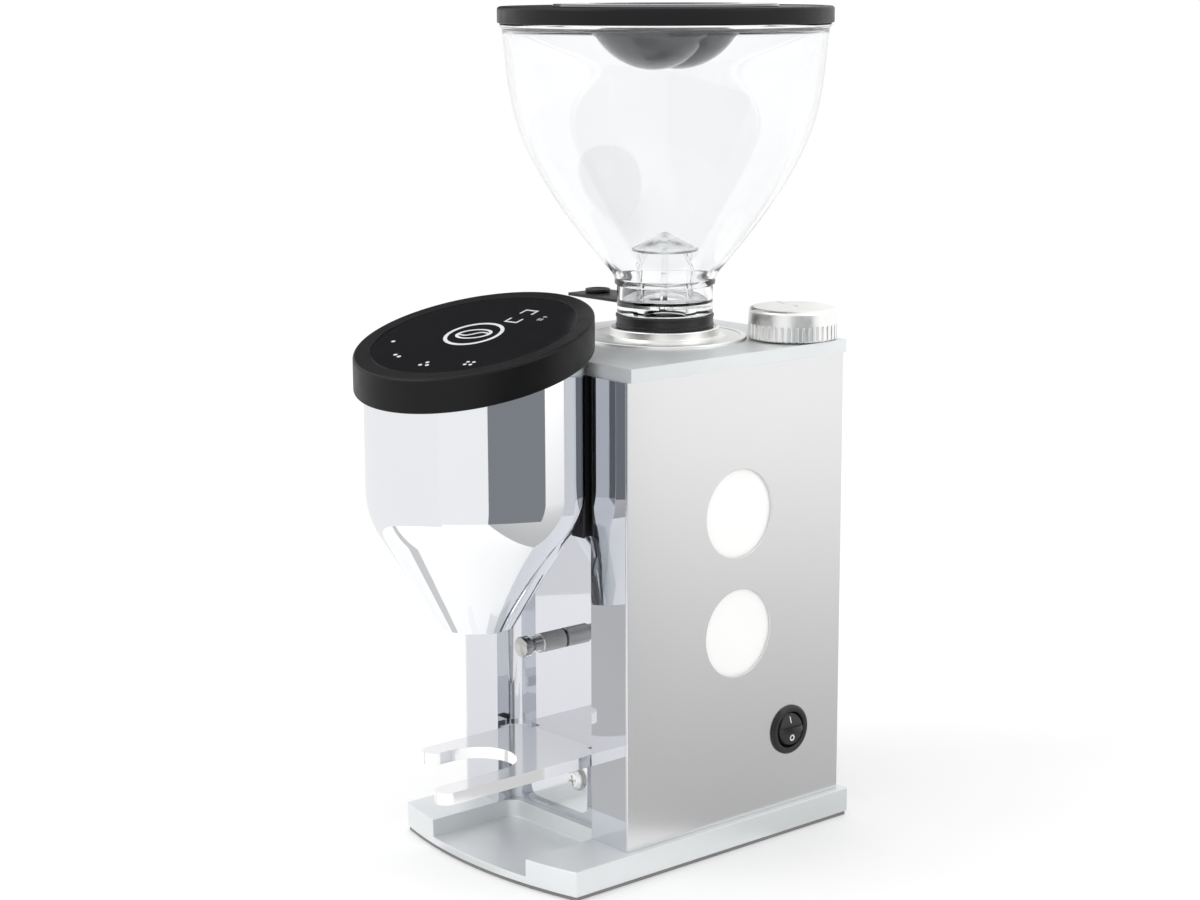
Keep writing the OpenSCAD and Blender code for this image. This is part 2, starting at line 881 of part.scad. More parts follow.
// dish with two bowls, parted by the grip web
module lid_dish() {
    wall = 2;
    lip = 3;
    web_t = 3;
    flange_up = 1.2;
    shape_r = (dish_r * dish_r + dish_depth * dish_depth) / (2 * dish_depth);
    centre_z = lid_top - dish_depth + shape_r;
    color("dimgray", 0.6) at_hopper() {
        difference() {
            intersection() {
                translate([0, 0, centre_z]) sphere(r = shape_r);
                upright(dish_r, lid_top - dish_depth - 1, lid_top);
            }
            difference() {
                translate([0, 0, centre_z]) sphere(r = shape_r - wall);
                block([-big, -web_t / 2, 0], [big, web_t / 2, big * 2]);
            }
        }
        rotate_extrude() polygon([
            [dish_r - eps, lid_top - 1.5], [dish_r + lip, lid_top - 1.5], [dish_r + lip, lid_top],
            [dish_flange_r, lid_top], [dish_flange_r - 0.8, lid_top + flange_up],
            [dish_r - eps, lid_top + flange_up]]);
    }
}

module lid_seal() {
    color("gray") at_hopper()
        tube(hopper_r - hopper_wall - 0.6, hopper_r - 5.5, rim_z - 3, rim_z);
}

module grounds_chute() {
    color("dimgray") difference() {
        block([-chute_w / 2, chute_end, chute_z], [chute_w / 2, boss_y, chute_z + chute_h]);
        block([-chute_w / 2 + chute_wall, chute_end - 1, chute_z + chute_wall],
              [chute_w / 2 - chute_wall, boss_y + 1, chute_z + chute_h - chute_wall]);
        translate([0, chute_end, chute_z]) rotate([-40, 0, 0])
            block([-big, -big, -big], [big, 0, big]);
    }
}

// outline of the spout: a wall, an arc and a cone
function spout_outline(inset) =
    let (steps = 8,
         arc = [for (i = [0:steps])
             [spout_r - blend_r * (1 - cos(i * cone_angle / steps)) - inset,
              corner_z + blend_len - blend_r * sin(i * cone_angle / steps)]])
    concat([[spout_r - inset, case_top + 40]], arc, [[outlet_r - inset, cone_z]]);

module spout_shell() {
    color("white") difference() {
        at_spout() rotate_extrude() polygon(concat(
            spout_outline(0), [for (i = [9:-1:0]) spout_outline(spout_wall)[i]],
            [[spout_r - spout_wall, case_top + 40]]));
        cap_slab(shell_in, -big);
        block([-big, back_y, block_z], [big, big, big]);
    }
}

module spout_block() {
    plate_half = sqrt(pow(spout_r, 2) - pow(back_y + back_plate - spout_y, 2));
    color("black") difference() {
        union() {
            block([-plate_half, back_y, block_z], [plate_half, back_y + back_plate, cap_z + 30]);
            block([-block_half, back_y, block_z], [block_half, recess_y - recess_bend, case_top]);
            block([-block_half + recess_bend, back_y, block_z],
                  [block_half - recess_bend, recess_y, case_top]);
        }
        cap_slab(shell_in, -big);
        block([-chute_w / 2 - pass_gap, back_y - 1, chute_z - pass_gap],
              [chute_w / 2 + pass_gap, recess_y + 1, chute_z + chute_h + pass_gap]);
    }
}

module cap_ring() {
    color("dimgray") difference() {
        intersection() {
            at_spout() upright(cap_r, case_top - 40, case_top + 60);
            cap_slab(cap_h, 0);
        }
        intersection() {
            at_spout() upright(glass_r + 0.1, case_top - 40, case_top + 60);
            cap_slab(glass_t, -5);
        }
        intersection() {
            at_spout() upright(spout_r - 3, case_top - 40, case_top + 60);
            cap_slab(cap_h + 5, glass_t + cap_web);
        }
        intersection() {
            at_spout() upright(spout_r + 0.1, case_top - 40, case_top + 60);
            cap_slab(cap_h + 5, shell_in);
        }
    }
}

module touch_glass() {
    color("black") intersection() {
        at_spout() upright(glass_r, case_top - 40, case_top + 60);
        cap_slab(glass_t, 0.2);
    }
}

module touch_board() {
    color("green") intersection() {
        at_spout() upright(glass_r - 6, case_top - 40, case_top + 60);
        cap_slab(glass_t + cap_web + 1.6, glass_t + cap_web);
    }
}

module prong(side, reach) {
    middle = side * (fork_half - prong_w / 2);
    tip_y = recess_y - reach + prong_w / 2;
    block([middle - prong_w / 2, tip_y, fork_low], [middle + prong_w / 2, slot_y, fork_top]);
    translate([middle, tip_y, 0]) upright(prong_w / 2, fork_low, fork_top);
}

module fork() {
    corner = 5;
    color("white") difference() {
        union() {
            prong(1, fork_long);
            prong(-1, fork_short);
            block([-fork_half, slot_y, fork_low], [fork_half, recess_y - tab_t, fork_top]);
            block([-tab_half, recess_y - tab_t, tab_low + corner], [tab_half, recess_y, fork_top]);
            block([-tab_half + corner, recess_y - tab_t, tab_low],
                  [tab_half - corner, recess_y, fork_top]);
            for (side = [-1, 1])
                translate([side * (tab_half - corner), recess_y, tab_low + corner]) rotate([90, 0, 0])
                    cylinder(r = corner, h = tab_t);
        }
        translate([0, slot_y, 0]) upright(fork_slot_r, fork_low - 1, fork_top + 1);
        for (side = [-1, 1])
            translate([side * fork_screw_x, recess_y + 1, fork_screw_z]) rotate([90, 0, 0])
                cylinder(r = screw_r, h = tab_t + 2);
    }
}

module fork_washers() {
    color("silver") for (side = [-1, 1])
        translate([side * fork_screw_x, recess_y - tab_t, fork_screw_z]) rotate([90, 0, 0])
            tube(6, screw_r, 0, washer_t);
}

// pan screws with a cross recess
module fork_screws() {
    color("silver") for (side = [-1, 1])
        translate([side * fork_screw_x, recess_y - tab_t - washer_t, fork_screw_z])
            rotate([90, 0, 0]) difference() {
                union() {
                    upright(5, 0, 2);
                    translate([0, 0, 2]) cylinder(r1 = 5, r2 = 3, h = 1.2);
                    upright(screw_r, -10, eps);
                }
                block([-2.6, -0.5, 1.6], [2.6, 0.5, 4]);
                block([-0.5, -2.6, 1.6], [0.5, 2.6, 4]);
            }
}

module rest_pin() {
    sleeve_l = 15;
    tip_y = recess_y - pin_reach;
    color("silver") translate([0, recess_y, pin_z]) rotate([90, 0, 0]) {
        upright(pin_r, -8, pin_reach - 1);
        difference() {
            upright(pin_sleeve_r, 0.6, 0.6 + sleeve_l);
            for (i = [0:23])
                rotate([0, 0, 15 * i]) translate([pin_sleeve_r + 0.3, 0, 0]) upright(0.5, 1.6, sleeve_l - 0.4);
        }
        upright(pin_head_r, pin_reach - 5, pin_reach - 1);
        translate([0, 0, pin_reach - 1 - eps]) cylinder(r1 = pin_head_r, r2 = pin_head_r - 1, h = 1);
    }
}

module pin_nut() {
    color("dimgray") translate([0, recess_y + sheet, pin_z]) rotate([-90, 0, 0]) difference() {
        cylinder(r = 9, h = 5, $fn = 6);
        upright(pin_r + run_fit, -1, 6);
    }
}

module at_switch() {
    translate([half_w, switch_y, switch_z]) rotate([0, 90, 0]) children();
}

module switch_bezel() {
    barrel = 17;
    well = half_w - rocker_x + rocker_r + 1;
    color("black") difference() {
        at_switch() difference() {
            union() {
                rotate_extrude() polygon([
                    [0, 0], [switch_r, 0], [switch_r, bezel_t - 0.8], [switch_r - 0.8, bezel_t],
                    [0, bezel_t]]);
                upright(rocker_r + 1.6, -barrel, eps);
            }
            upright(rocker_r + slide_fit, -well, bezel_t + 1);
        }
        translate([rocker_x, switch_y, switch_z]) rotate([90, 0, 0])
            cylinder(r = 1.2 + run_fit, h = 2 * rocker_r + 2.4, center = true);
    }
}

// two flats meet at a shallow angle over the pivot
module switch_rocker() {
    face = 9;
    lift = 5.2;
    color("black") translate([rocker_x, switch_y, switch_z]) rotate([0, -rocker_throw / 2, 0]) {
        difference() {
            rotate([90, 0, 0]) sphere(r = rocker_r);
            rotate([0, face, 0]) block([lift, -big, -big], [big, big, 0]);
            rotate([0, -face, 0]) block([lift, -big, 0], [big, big, big]);
            block([-big, -big, -big], [-4, big, big]);
        }
        rotate([90, 0, 0]) cylinder(r = 1.2, h = 2 * rocker_r + 2, center = true);
    }
}

module mains_inlet() {
    flange_w = inlet_w + 22;
    color("black") difference() {
        union() {
            block([-flange_w / 2, case_rear, inlet_z - inlet_h / 2 - 3],
                  [flange_w / 2, case_rear + 2, inlet_z + inlet_h / 2 + 3]);
            block([-inlet_w / 2, case_rear - inlet_depth, inlet_z - inlet_h / 2],
                  [inlet_w / 2, case_rear + eps, inlet_z + inlet_h / 2]);
        }
        block([-inlet_w / 2 + 2, case_rear - inlet_depth + 4, inlet_z - inlet_h / 2 + 2],
              [inlet_w / 2 - 2, case_rear + 3, inlet_z + inlet_h / 2 - 2]);
        for (side = [-1, 1])
            translate([side * (inlet_w / 2 + 7), case_rear - 1, inlet_z]) rotate([-90, 0, 0])
                upright(screw_r, 0, 5);
    }
    color("silver") for (x = [-7, 0, 7])
        block([x - 1, case_rear - inlet_depth + 3, inlet_z - 3],
              [x + 1, case_rear - 4, inlet_z + 3]);
}

module run_capacitor() {
    color("white") translate([18, case_front + 92, base_top + 19]) rotate([90, 0, 0])
        cylinder(r = 15, h = 62);
}

module capacitor_clip() {
    color("silver") translate([18, case_front + 66, 0]) difference() {
        union() {
            translate([0, 0, base_top + 19]) rotate([90, 0, 0]) cylinder(r = 16.5, h = 10);
            block([-22, -10, base_top], [22, 0, base_top + 3]);
        }
        translate([0, 1, base_top + 19]) rotate([90, 0, 0]) cylinder(r = 15, h = 12);
    }
}

module control_board() {
    y0 = case_front + 32;
    z0 = base_top + 10;
    color("darkgreen") block([board_x, y0, z0], [board_x + 1.6, y0 + 80, z0 + 60]);
    color("gray") for (y = [y0 + 6, y0 + 74])
        for (z = [z0 + 6, z0 + 54])
            translate([-inner_w, y, z]) rotate([0, 90, 0]) cylinder(r = 3, h = board_x + inner_w + eps);
    color("black") {
        block([board_x + 1.6 - eps, y0 + 12, z0 + 12], [board_x + 14, y0 + 32, z0 + 30]);
        block([board_x + 1.6 - eps, y0 + 40, z0 + 14], [board_x + 12, y0 + 66, z0 + 34]);
        block([board_x + 1.6 - eps, y0 + 20, z0 + 40], [board_x + 5, y0 + 60, z0 + 50]);
    }
}

base_plate();
sole_pad();
frame_posts();
frame_screws();
motor_deck();
front_panel();
rear_panel();
side_panel_right();
side_panel_left();
window_discs_right();
window_discs_left();
cover_plate();
cover_standoffs();
cover_bolts();
motor_can();
motor_end_bells();
motor_bearings();
motor_stator();
motor_windings();
motor_rotor();
motor_shaft();
cooling_fan();
grind_chamber();
chamber_bolts();
lower_burr_carrier();
lower_burr();
carrier_nut();
upper_burr();
upper_burr_carrier();
adjust_pinion();
adjust_shaft();
adjust_knob();
adjust_bush();
burr_flange();
collar_ring();
hopper();
hopper_guard();
gate_slide();
gate_grip();
lid_rim();
lid_dish();
lid_seal();
grounds_chute();
spout_shell();
spout_block();
cap_ring();
touch_glass();
touch_board();
fork();
fork_screws();
fork_washers();
rest_pin();
pin_nut();
switch_bezel();
switch_rocker();
mains_inlet();
panel_screws();
run_capacitor();
capacitor_clip();
control_board();
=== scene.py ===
"""Burr coffee grinder with a clear hopper, a mirror steel body and a touch cap."""

import json
import math

import bmesh
import bpy
from mathutils import Matrix, Vector


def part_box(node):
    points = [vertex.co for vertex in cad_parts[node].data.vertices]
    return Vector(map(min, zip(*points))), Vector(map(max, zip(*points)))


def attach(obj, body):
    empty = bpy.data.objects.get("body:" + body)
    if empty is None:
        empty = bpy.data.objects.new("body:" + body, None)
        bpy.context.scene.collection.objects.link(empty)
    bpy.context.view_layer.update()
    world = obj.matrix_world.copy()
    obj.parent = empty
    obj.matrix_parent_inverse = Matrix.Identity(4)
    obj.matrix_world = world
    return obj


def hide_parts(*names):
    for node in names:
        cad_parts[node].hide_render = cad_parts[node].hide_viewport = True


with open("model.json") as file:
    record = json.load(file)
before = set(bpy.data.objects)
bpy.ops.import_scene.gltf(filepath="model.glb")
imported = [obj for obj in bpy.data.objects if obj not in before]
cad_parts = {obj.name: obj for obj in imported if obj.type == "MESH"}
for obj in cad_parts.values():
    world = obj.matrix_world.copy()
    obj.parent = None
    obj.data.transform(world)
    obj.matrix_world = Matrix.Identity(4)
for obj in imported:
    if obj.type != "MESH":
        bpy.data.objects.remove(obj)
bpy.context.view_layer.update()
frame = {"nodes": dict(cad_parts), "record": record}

MM = 0.001
TAU = 2 * math.pi

# view that was fitted to the photograph: degrees, metres, and millimetres for the lens
VIEW_AZIMUTH, VIEW_ELEVATION, VIEW_ROLL = 49.04, 11.09, -0.17
VIEW_PLACE = (0.9030, -0.8033, 0.4350)
VIEW_LENS, VIEW_SENSOR = 72.78, 36


# ---------------------------------------------------------------- camera
def place_camera():
    """Camera at the photograph's angle."""
    azimuth, elevation, roll = (math.radians(a) for a in (VIEW_AZIMUTH, VIEW_ELEVATION, VIEW_ROLL))
    back = Vector((math.sin(azimuth) * math.cos(elevation),
                   -math.cos(azimuth) * math.cos(elevation), math.sin(elevation)))
    right = Vector((math.cos(azimuth), math.sin(azimuth), 0))
    up = back.cross(right)
    side = right * math.cos(roll) + up * math.sin(roll)
    head = up * math.cos(roll) - right * math.sin(roll)
    data = bpy.data.cameras.new("camera")
    data.sensor_width = VIEW_SENSOR
    data.lens = VIEW_LENS
    camera = bpy.data.objects.new("camera", data)
    bpy.context.scene.collection.objects.link(camera)
    turn = Matrix((side, head, back)).transposed()
    camera.matrix_world = Matrix.Translation(VIEW_PLACE) @ turn.to_4x4()
    bpy.context.scene.camera = camera


place_camera()


# ---------------------------------------------------------------- materials
def srgb(red, green, blue):
    """Linear colour of an 8-bit screen colour."""
    values = (red, green, blue)
    return tuple(((v / 255 + 0.055) / 1.055) ** 2.4 if v > 10 else v / 255 / 12.92 for v in values)


def noise_node(tree, coords, scale, detail=3.0, stretch=(1, 1, 1), turn=(0, 0, 0)):
    """Noise of so many spots a metre, stretched along an axis where asked."""
    mapping = tree.nodes.new("ShaderNodeMapping")
    mapping.inputs["Scale"].default_value = stretch
    mapping.inputs["Rotation"].default_value = turn
    texture = tree.nodes.new("ShaderNodeTexNoise")
    texture.inputs["Scale"].default_value = scale
    texture.inputs["Detail"].default_value = detail
    tree.links.new(coords, mapping.inputs["Vector"])
    tree.links.new(mapping.outputs["Vector"], texture.inputs["Vector"])
    return texture.outputs["Fac"]


def map_range(tree, value, low, high, start=0.3, end=0.7):
    node = tree.nodes.new("ShaderNodeMapRange")
    node.inputs["From Min"].default_value = start
    node.inputs["From Max"].default_value = end
    node.inputs["To Min"].default_value = low
    node.inputs["To Max"].default_value = high
    tree.links.new(value, node.inputs["Value"])
    return node.outputs["Result"]


def mix_colour(tree, factor, first, second):
    node = tree.nodes.new("ShaderNodeMix")
    node.data_type = "RGBA"
    node.inputs["A"].default_value = (*first, 1)
    node.inputs["B"].default_value = (*second, 1)
    tree.links.new(factor, node.inputs["Factor"])
    return node.outputs["Result"]


def material(name, colour, rough, metallic=0.0, tone=0.04, spread=0.05, grain=None, smudge=35,
             **sockets):
    """Principled material whose colour, roughness and surface vary with noise.

    grain is (spots a metre, stretch, bump strength, bump height in metres)."""
    made = bpy.data.materials.new(name)
    made.use_nodes = True
    tree = made.node_tree
    shader = tree.nodes["Principled BSDF"]
    shader.inputs["Metallic"].default_value = metallic
    for socket, value in sockets.items():
        shader.inputs[socket.replace("_", " ")].default_value = value
    coords = tree.nodes.new("ShaderNodeTexCoord").outputs["Object"]
    broad = noise_node(tree, coords, smudge, 4)
    darker = tuple(c * (1 - tone) for c in colour)
    lighter = tuple(min(1.0, c * (1 + tone)) for c in colour)
    tree.links.new(mix_colour(tree, map_range(tree, broad, 0, 1), darker, lighter),
                   shader.inputs["Base Color"])
    fine = noise_node(tree, coords, smudge * 3.1, 5)
    tree.links.new(map_range(tree, fine, max(0.0, rough - spread), min(1.0, rough + spread)),
                   shader.inputs["Roughness"])
    if grain:
        scale, stretch, strength, height = grain
        bump = tree.nodes.new("ShaderNodeBump")
        bump.inputs["Strength"].default_value = strength
        bump.inputs["Distance"].default_value = height
        tree.links.new(noise_node(tree, coords, scale, 3, stretch), bump.inputs["Height"])
        tree.links.new(bump.outputs["Normal"], shader.inputs["Normal"])
    return made


EVEN = (1, 1, 1)
MATERIALS = {
    "satin_aluminium": material("satin_aluminium", srgb(229, 232, 233), 0.42, 0.62, 0.02, 0.05,
                                (2600, EVEN, 0.25, 0.00006)),
    "mirror_steel": material("mirror_steel", srgb(244, 245, 247), 0.03, 1.0, 0.008, 0.012,
                             (14, EVEN, 0.05, 0.0004), smudge=22),
    "fork_steel": material("fork_steel", srgb(251, 251, 252), 0.10, 0.8, 0.01, 0.03,
                           (14, EVEN, 0.05, 0.0004), smudge=22),
    # darker copy of mirror_steel for the column faces: its greyer colour is painted shade, standing
    # in for the dark surroundings those faces reflect
    "shaded_column_steel": material("shaded_column_steel", srgb(212, 214, 219), 0.035, 1.0, 0.012, 0.015,
                             (14, EVEN, 0.05, 0.0004), smudge=22),
    "brushed_steel": material("brushed_steel", srgb(230, 230, 231), 0.24, 1.0, 0.012, 0.012,
                              (900, (1, 9, 0.35), 0.05, 0.00002), smudge=6),
    "window_disc": material("window_disc", srgb(243, 243, 242), 0.22, 0.0, 0.012, 0.04,
                            (1800, EVEN, 0.06, 0.00003), Coat_Weight=0.5),
    "machined_aluminium": material("machined_aluminium", srgb(250, 250, 248), 0.36, 1.0, 0.015,
                                   0.06, (700, (1, 1, 7), 0.25, 0.00005), smudge=60),
    "black_plastic": material("black_plastic", srgb(30, 30, 32), 0.38, 0.0, 0.10, 0.05,
                              (3200, EVEN, 0.22, 0.00006)),
    "pale_smoke": material("pale_smoke", srgb(118, 118, 122), 0.08, 0.35, 0.02, 0.03,
                           (1800, EVEN, 0.05, 0.00002)),
    "cap_black": material("cap_black", srgb(5, 5, 6), 0.40, 0.0, 0.10, 0.05,
                          (3200, EVEN, 0.22, 0.00006), Specular_IOR_Level=0.26),
    "frosted_clear": material("frosted_clear", srgb(250, 251, 251), 0.14, 0.0, 0.01, 0.05,
                              Transmission_Weight=1.0, IOR=1.18),
    "clear_plastic": material("clear_plastic", (0.985, 0.99, 0.995), 0.01, 0.0, 0.004, 0.008,
                              Transmission_Weight=1.0, IOR=1.49),
    "smoked_plastic": material("smoked_plastic", srgb(84, 84, 92), 0.08, 0.0, 0.05, 0.02,
                               Transmission_Weight=0.75, IOR=1.49),
    "black_glass": material("black_glass", srgb(16, 16, 17), 0.16, 0.0, 0.08, 0.03,
                            (5, EVEN, 0.02, 0.0004), Specular_IOR_Level=0.2),
    "rubber": material("rubber", srgb(126, 125, 124), 0.75, 0.0, 0.08, 0.06,
                       (2200, EVEN, 0.4, 0.0001)),
    "structure_steel": material("structure_steel", srgb(160, 162, 165), 0.38, 1.0, 0.06, 0.08,
                                (500, (1, 1, 5), 0.2, 0.00006)),
    "screw_steel": material("screw_steel", srgb(190, 190, 188), 0.22, 1.0, 0.05, 0.06,
                            (1500, (1, 1, 4), 0.15, 0.00004), smudge=90),
    "motor_black": material("motor_black", srgb(40, 40, 42), 0.45, 0.2, 0.12, 0.08,
                            (1500, EVEN, 0.3, 0.0001)),
    "cast_aluminium": material("cast_aluminium", srgb(176, 177, 179), 0.5, 0.85, 0.06, 0.08,
                               (900, EVEN, 0.5, 0.00015)),
    "lamination": material("lamination", srgb(88, 90, 94), 0.5, 0.8, 0.08, 0.06,
                           (900, (0.1, 0.1, 8), 0.6, 0.0002)),
    "copper": material("copper", srgb(176, 108, 62), 0.35, 0.9, 0.14, 0.08,
                       (1100, (0.4, 0.4, 6), 0.6, 0.0003)),
    "burr_steel": material("burr_steel", srgb(120, 121, 124), 0.28, 1.0, 0.06, 0.06,
                           (1400, (5, 1, 1), 0.2, 0.00004)),
    "brass": material("brass", srgb(205, 172, 96), 0.25, 1.0, 0.06, 0.06,
                      (900, (1, 1, 6), 0.2, 0.00005)),
    "white_plastic": material("white_plastic", srgb(226, 226, 222), 0.45, 0.0, 0.03, 0.05,
                              (1800, EVEN, 0.15, 0.00005)),
    "circuit_board": material("circuit_board", srgb(26, 92, 50), 0.4, 0.0, 0.16, 0.08,
                              (420, (3, 1, 3), 0.5, 0.0001)),
    "print_white": material("print_white", srgb(232, 234, 236), 0.4, 0.0, 0.02, 0.05,
                            (2600, EVEN, 0.1, 0.00002)),
    # near-black paint for shadow gaps, a painted shade; no piece uses it
    "painted_gap_shade": material("painted_gap_shade", srgb(12, 12, 13), 0.6, 0.0, 0.2, 0.05,
                          (900, EVEN, 0.2, 0.00005)),
}

# nodes of each record slot, and each node's slot and body
SLOT = {
    "satin_aluminium": "base_plate cover_plate",
    "mirror_steel": "front_panel spout_shell fork",
    "brushed_steel": "side_panel_right side_panel_left rear_panel",
    "window_disc": "window_discs_right window_discs_left",
    "machined_aluminium": "burr_flange adjust_knob",
    "black_plastic": ("collar_ring gate_slide gate_grip lid_rim spout_block cap_ring switch_bezel "
                      "switch_rocker mains_inlet cooling_fan grounds_chute"),
    "clear_plastic": "hopper hopper_guard lid_seal",
    "smoked_plastic": "lid_dish",
    "black_glass": "touch_glass",
    "rubber": "sole_pad",
    "structure_steel": "frame_posts motor_deck cover_standoffs capacitor_clip",
    "screw_steel": ("frame_screws cover_bolts chamber_bolts carrier_nut fork_screws fork_washers "
                    "rest_pin pin_nut panel_screws motor_shaft adjust_shaft"),
    "motor_black": "motor_can",
    "cast_aluminium": "motor_end_bells grind_chamber lower_burr_carrier upper_burr_carrier",
    "lamination": "motor_stator motor_rotor",
    "copper": "motor_windings",
    "burr_steel": "lower_burr upper_burr motor_bearings",
    "brass": "adjust_pinion adjust_bush",
    "white_plastic": "run_capacitor",
    "circuit_board": "touch_board control_board",
}
NODE_SLOT = {node: slot for slot, nodes in SLOT.items() for node in nodes.split()}
BODIES = frame["record"]["behaviour"]["bodies"]
NODE_BODY = {node: body for body, nodes in BODIES.items() for node in nodes}


# ---------------------------------------------------------------- building
def box_mm(node):
    """Lowest and highest corner of a CAD node, in millimetres."""
    low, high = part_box(node)
    return low / MM, high / MM


SMOOTH_ANGLE = 32  # degrees above which an edge stays sharp in shading
ROUND_ANGLE = 28  # degrees above which an edge of a CAD node is rounded
SHARP = 0.0001  # millimetres, edge of a shape that only cuts


def place_object(name, mesh):
    """Object of a mesh that is already in place, in metres."""
    made = bpy.data.objects.new(name, mesh)
    bpy.context.scene.collection.objects.link(made)
    return made


def add_piece(name, mesh, finish, body, stands_for=(), flat_faces=True):
    """Visual piece that rides a body, and takes the place of the nodes it stands for."""
    mesh.validate()
    mesh.update()
    mesh.shade_smooth()
    mesh.set_sharp_from_angle(angle=math.radians(SMOOTH_ANGLE))
    mesh.materials.clear()
    mesh.materials.append(MATERIALS[finish])
    made = place_object(name, mesh)
    if flat_faces:
        made.modifiers.new("weights", "WEIGHTED_NORMAL").keep_sharp = True
    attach(made, body)
    if stands_for:
        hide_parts(*stands_for)


def mesh_of(name, points, faces):
    """Mesh from points in millimetres."""
    mesh = bpy.data.meshes.new(name)
    mesh.from_pydata([tuple(c * MM for c in p) for p in points], [], faces)
    return mesh


def fillet(corners, steps=5, closed=True):
    """Outline from (x, y) or (x, y, radius) corners, with each radius as an arc."""
    made = []
    count = len(corners)
    for i, corner in enumerate(corners):
        here = Vector(corner[:2])
        radius = corner[2] if len(corner) > 2 else 0
        if not radius or (not closed and i in (0, count - 1)):
            made.append(tuple(here))
            continue
        before = Vector(corners[i - 1][:2]) - here
        after = Vector(corners[(i + 1) % count][:2]) - here
        angle = before.angle(after)
        if angle > math.pi - 0.001:
            made.append(tuple(here))
            continue
        reach = min(radius / math.tan(angle / 2), before.length * 0.49, after.length * 0.49)
        radius = reach * math.tan(angle / 2)
        first, last = before.normalized(), after.normalized()
        middle = here + (first + last).normalized() * (radius / math.sin(angle / 2))
        start = here + first * reach - middle
        turn = start.angle_signed(here + last * reach - middle)
        for k in range(steps + 1):
            made.append(tuple(middle + Matrix.Rotation(-turn * k / steps, 2) @ start))
    return made


def lathe(name, profile, place=(0, 0), steps=128, wave=None, matrix=None, shift=None):
    """Closed (radius, height) outline turned about an upright axis at place.

    wave(angle, radius, height) gives a change of radius, and shift(x, y) one of height."""
    points, rows = [], []
    for radius, height in profile:
        row = []
        for k in range(steps):
            if radius < 1e-6 and row:
                row.append(row[0])
                continue
            angle = TAU * k / steps
            r = radius + (wave(angle, radius, height) if wave else 0)
            x, y = r * math.cos(angle), r * math.sin(angle)
            z = height + (shift(x, y) if shift else 0)
            point = Vector((x, y, z))
            if matrix is not None:
                point = matrix @ point
            else:
                point += Vector((*place, 0))
            row.append(len(points))
            points.append(tuple(point))
        rows.append(row)
    faces = []
    count = len(rows)
    for i in range(count):
        low, high = rows[i], rows[(i + 1) % count]
        for k in range(steps):
            face = [low[k], low[(k + 1) % steps], high[(k + 1) % steps], high[k]]
            face = [v for j, v in enumerate(face) if v not in face[:j]]
            if len(face) > 2:
                faces.append(face)
    mesh = mesh_of(name, points, faces)
    fix_normals(mesh)
    return mesh


def fix_normals(mesh):
    """Turns every face outwards."""
    shape = bmesh.new()
    shape.from_mesh(mesh)
    bmesh.ops.recalc_face_normals(shape, faces=shape.faces)
    shape.to_mesh(mesh)
    shape.free()


def prism(name, outline, low, high, edge=0.3, matrix=None, steps=3):
    """Outline raised from low to high, with rounded upper and lower edges."""
    corners = [Vector(p) for p in outline]
    area = sum(a.cross(b) for a, b in zip(corners, corners[1:] + corners[:1]))
    if area < 0:
        corners.reverse()
    count = len(corners)
    pull = []
    for i in range(count):
        first = (corners[i] - corners[i - 1]).normalized()
        second = (corners[(i + 1) % count] - corners[i]).normalized()
        inward = Vector((-first.y - second.y, first.x + second.x))
        length = inward.length
        pull.append(inward / length * min(2.0, 2 / max(length, 0.5)) if length > 1e-6 else inward)
    layers = []
    for k in range(steps + 1):
        a = math.pi / 2 * k / steps
        layers.append((edge * (1 - math.sin(a)), low + edge * (1 - math.cos(a))))
    layers += [(inset, low + high - z) for inset, z in reversed(layers)]
    points = [(*(c + p * inset), z) for inset, z in layers for c, p in zip(corners, pull)]
    faces = [[j * count + i, j * count + (i + 1) % count,
              (j + 1) * count + (i + 1) % count, (j + 1) * count + i]
             for j in range(len(layers) - 1) for i in range(count)]
    faces += [list(range(count))[::-1], list(range((len(layers) - 1) * count, len(layers) * count))]
    if matrix is not None:
        points = [tuple(matrix @ Vector(p)) for p in points]
    mesh = mesh_of(name, points, faces)
    fix_normals(mesh)
    return mesh


def join(name, *meshes):
    """One mesh of several, each part still closed."""
    shape = bmesh.new()
    for mesh in meshes:
        shape.from_mesh(mesh)
    made = bpy.data.meshes.new(name)
    shape.to_mesh(made)
    shape.free()
    return made


def cut(mesh, *cutters):
    """The mesh less each cutter."""
    made = place_object("cut", mesh)
    tools = []
    for cutter in cutters:
        tool = place_object("tool", cutter)
        step = made.modifiers.new("cut", "BOOLEAN")
        step.object, step.operation, step.solver = tool, "DIFFERENCE", "EXACT"
        tools.append(tool)
    bpy.context.view_layer.update()
    graph = bpy.context.evaluated_depsgraph_get()
    result = bpy.data.meshes.new_from_object(made.evaluated_get(graph))
    for tool in (made, *tools):
        bpy.data.objects.remove(tool)
    return result


def box_outline(low, high):
    """Four corners of a rectangle, from its lowest and highest."""
    (x0, y0), (x1, y1) = low, high
    return [(x0, y0), (x1, y0), (x1, y1), (x0, y1)]


def block(low, high):
    """Plain block, used only to cut with."""
    return prism("block", box_outline(low[:2], high[:2]), low[2], high[2], SHARP, steps=1)


def rounded_edges(mesh, width, segments):
    """Rounds every edge of a mesh that is sharper than the round angle."""
    shape = bmesh.new()
    shape.from_mesh(mesh)
    bmesh.ops.remove_doubles(shape, verts=shape.verts, dist=2e-6)
    bmesh.ops.dissolve_limit(shape, angle_limit=math.radians(0.5), verts=shape.verts,
                             edges=shape.edges)
    sharp = [e for e in shape.edges
             if len(e.link_faces) == 2 and e.calc_face_angle(0) > math.radians(ROUND_ANGLE)]
    bmesh.ops.bevel(shape, geom=sharp, offset=width * MM, offset_type="OFFSET", segments=segments,
                    profile=0.5, affect="EDGES", clamp_overlap=True)
    bmesh.ops.recalc_face_normals(shape, faces=shape.faces)
    made = bpy.data.meshes.new(mesh.name + "_round")
    shape.to_mesh(made)
    shape.free()
    return made


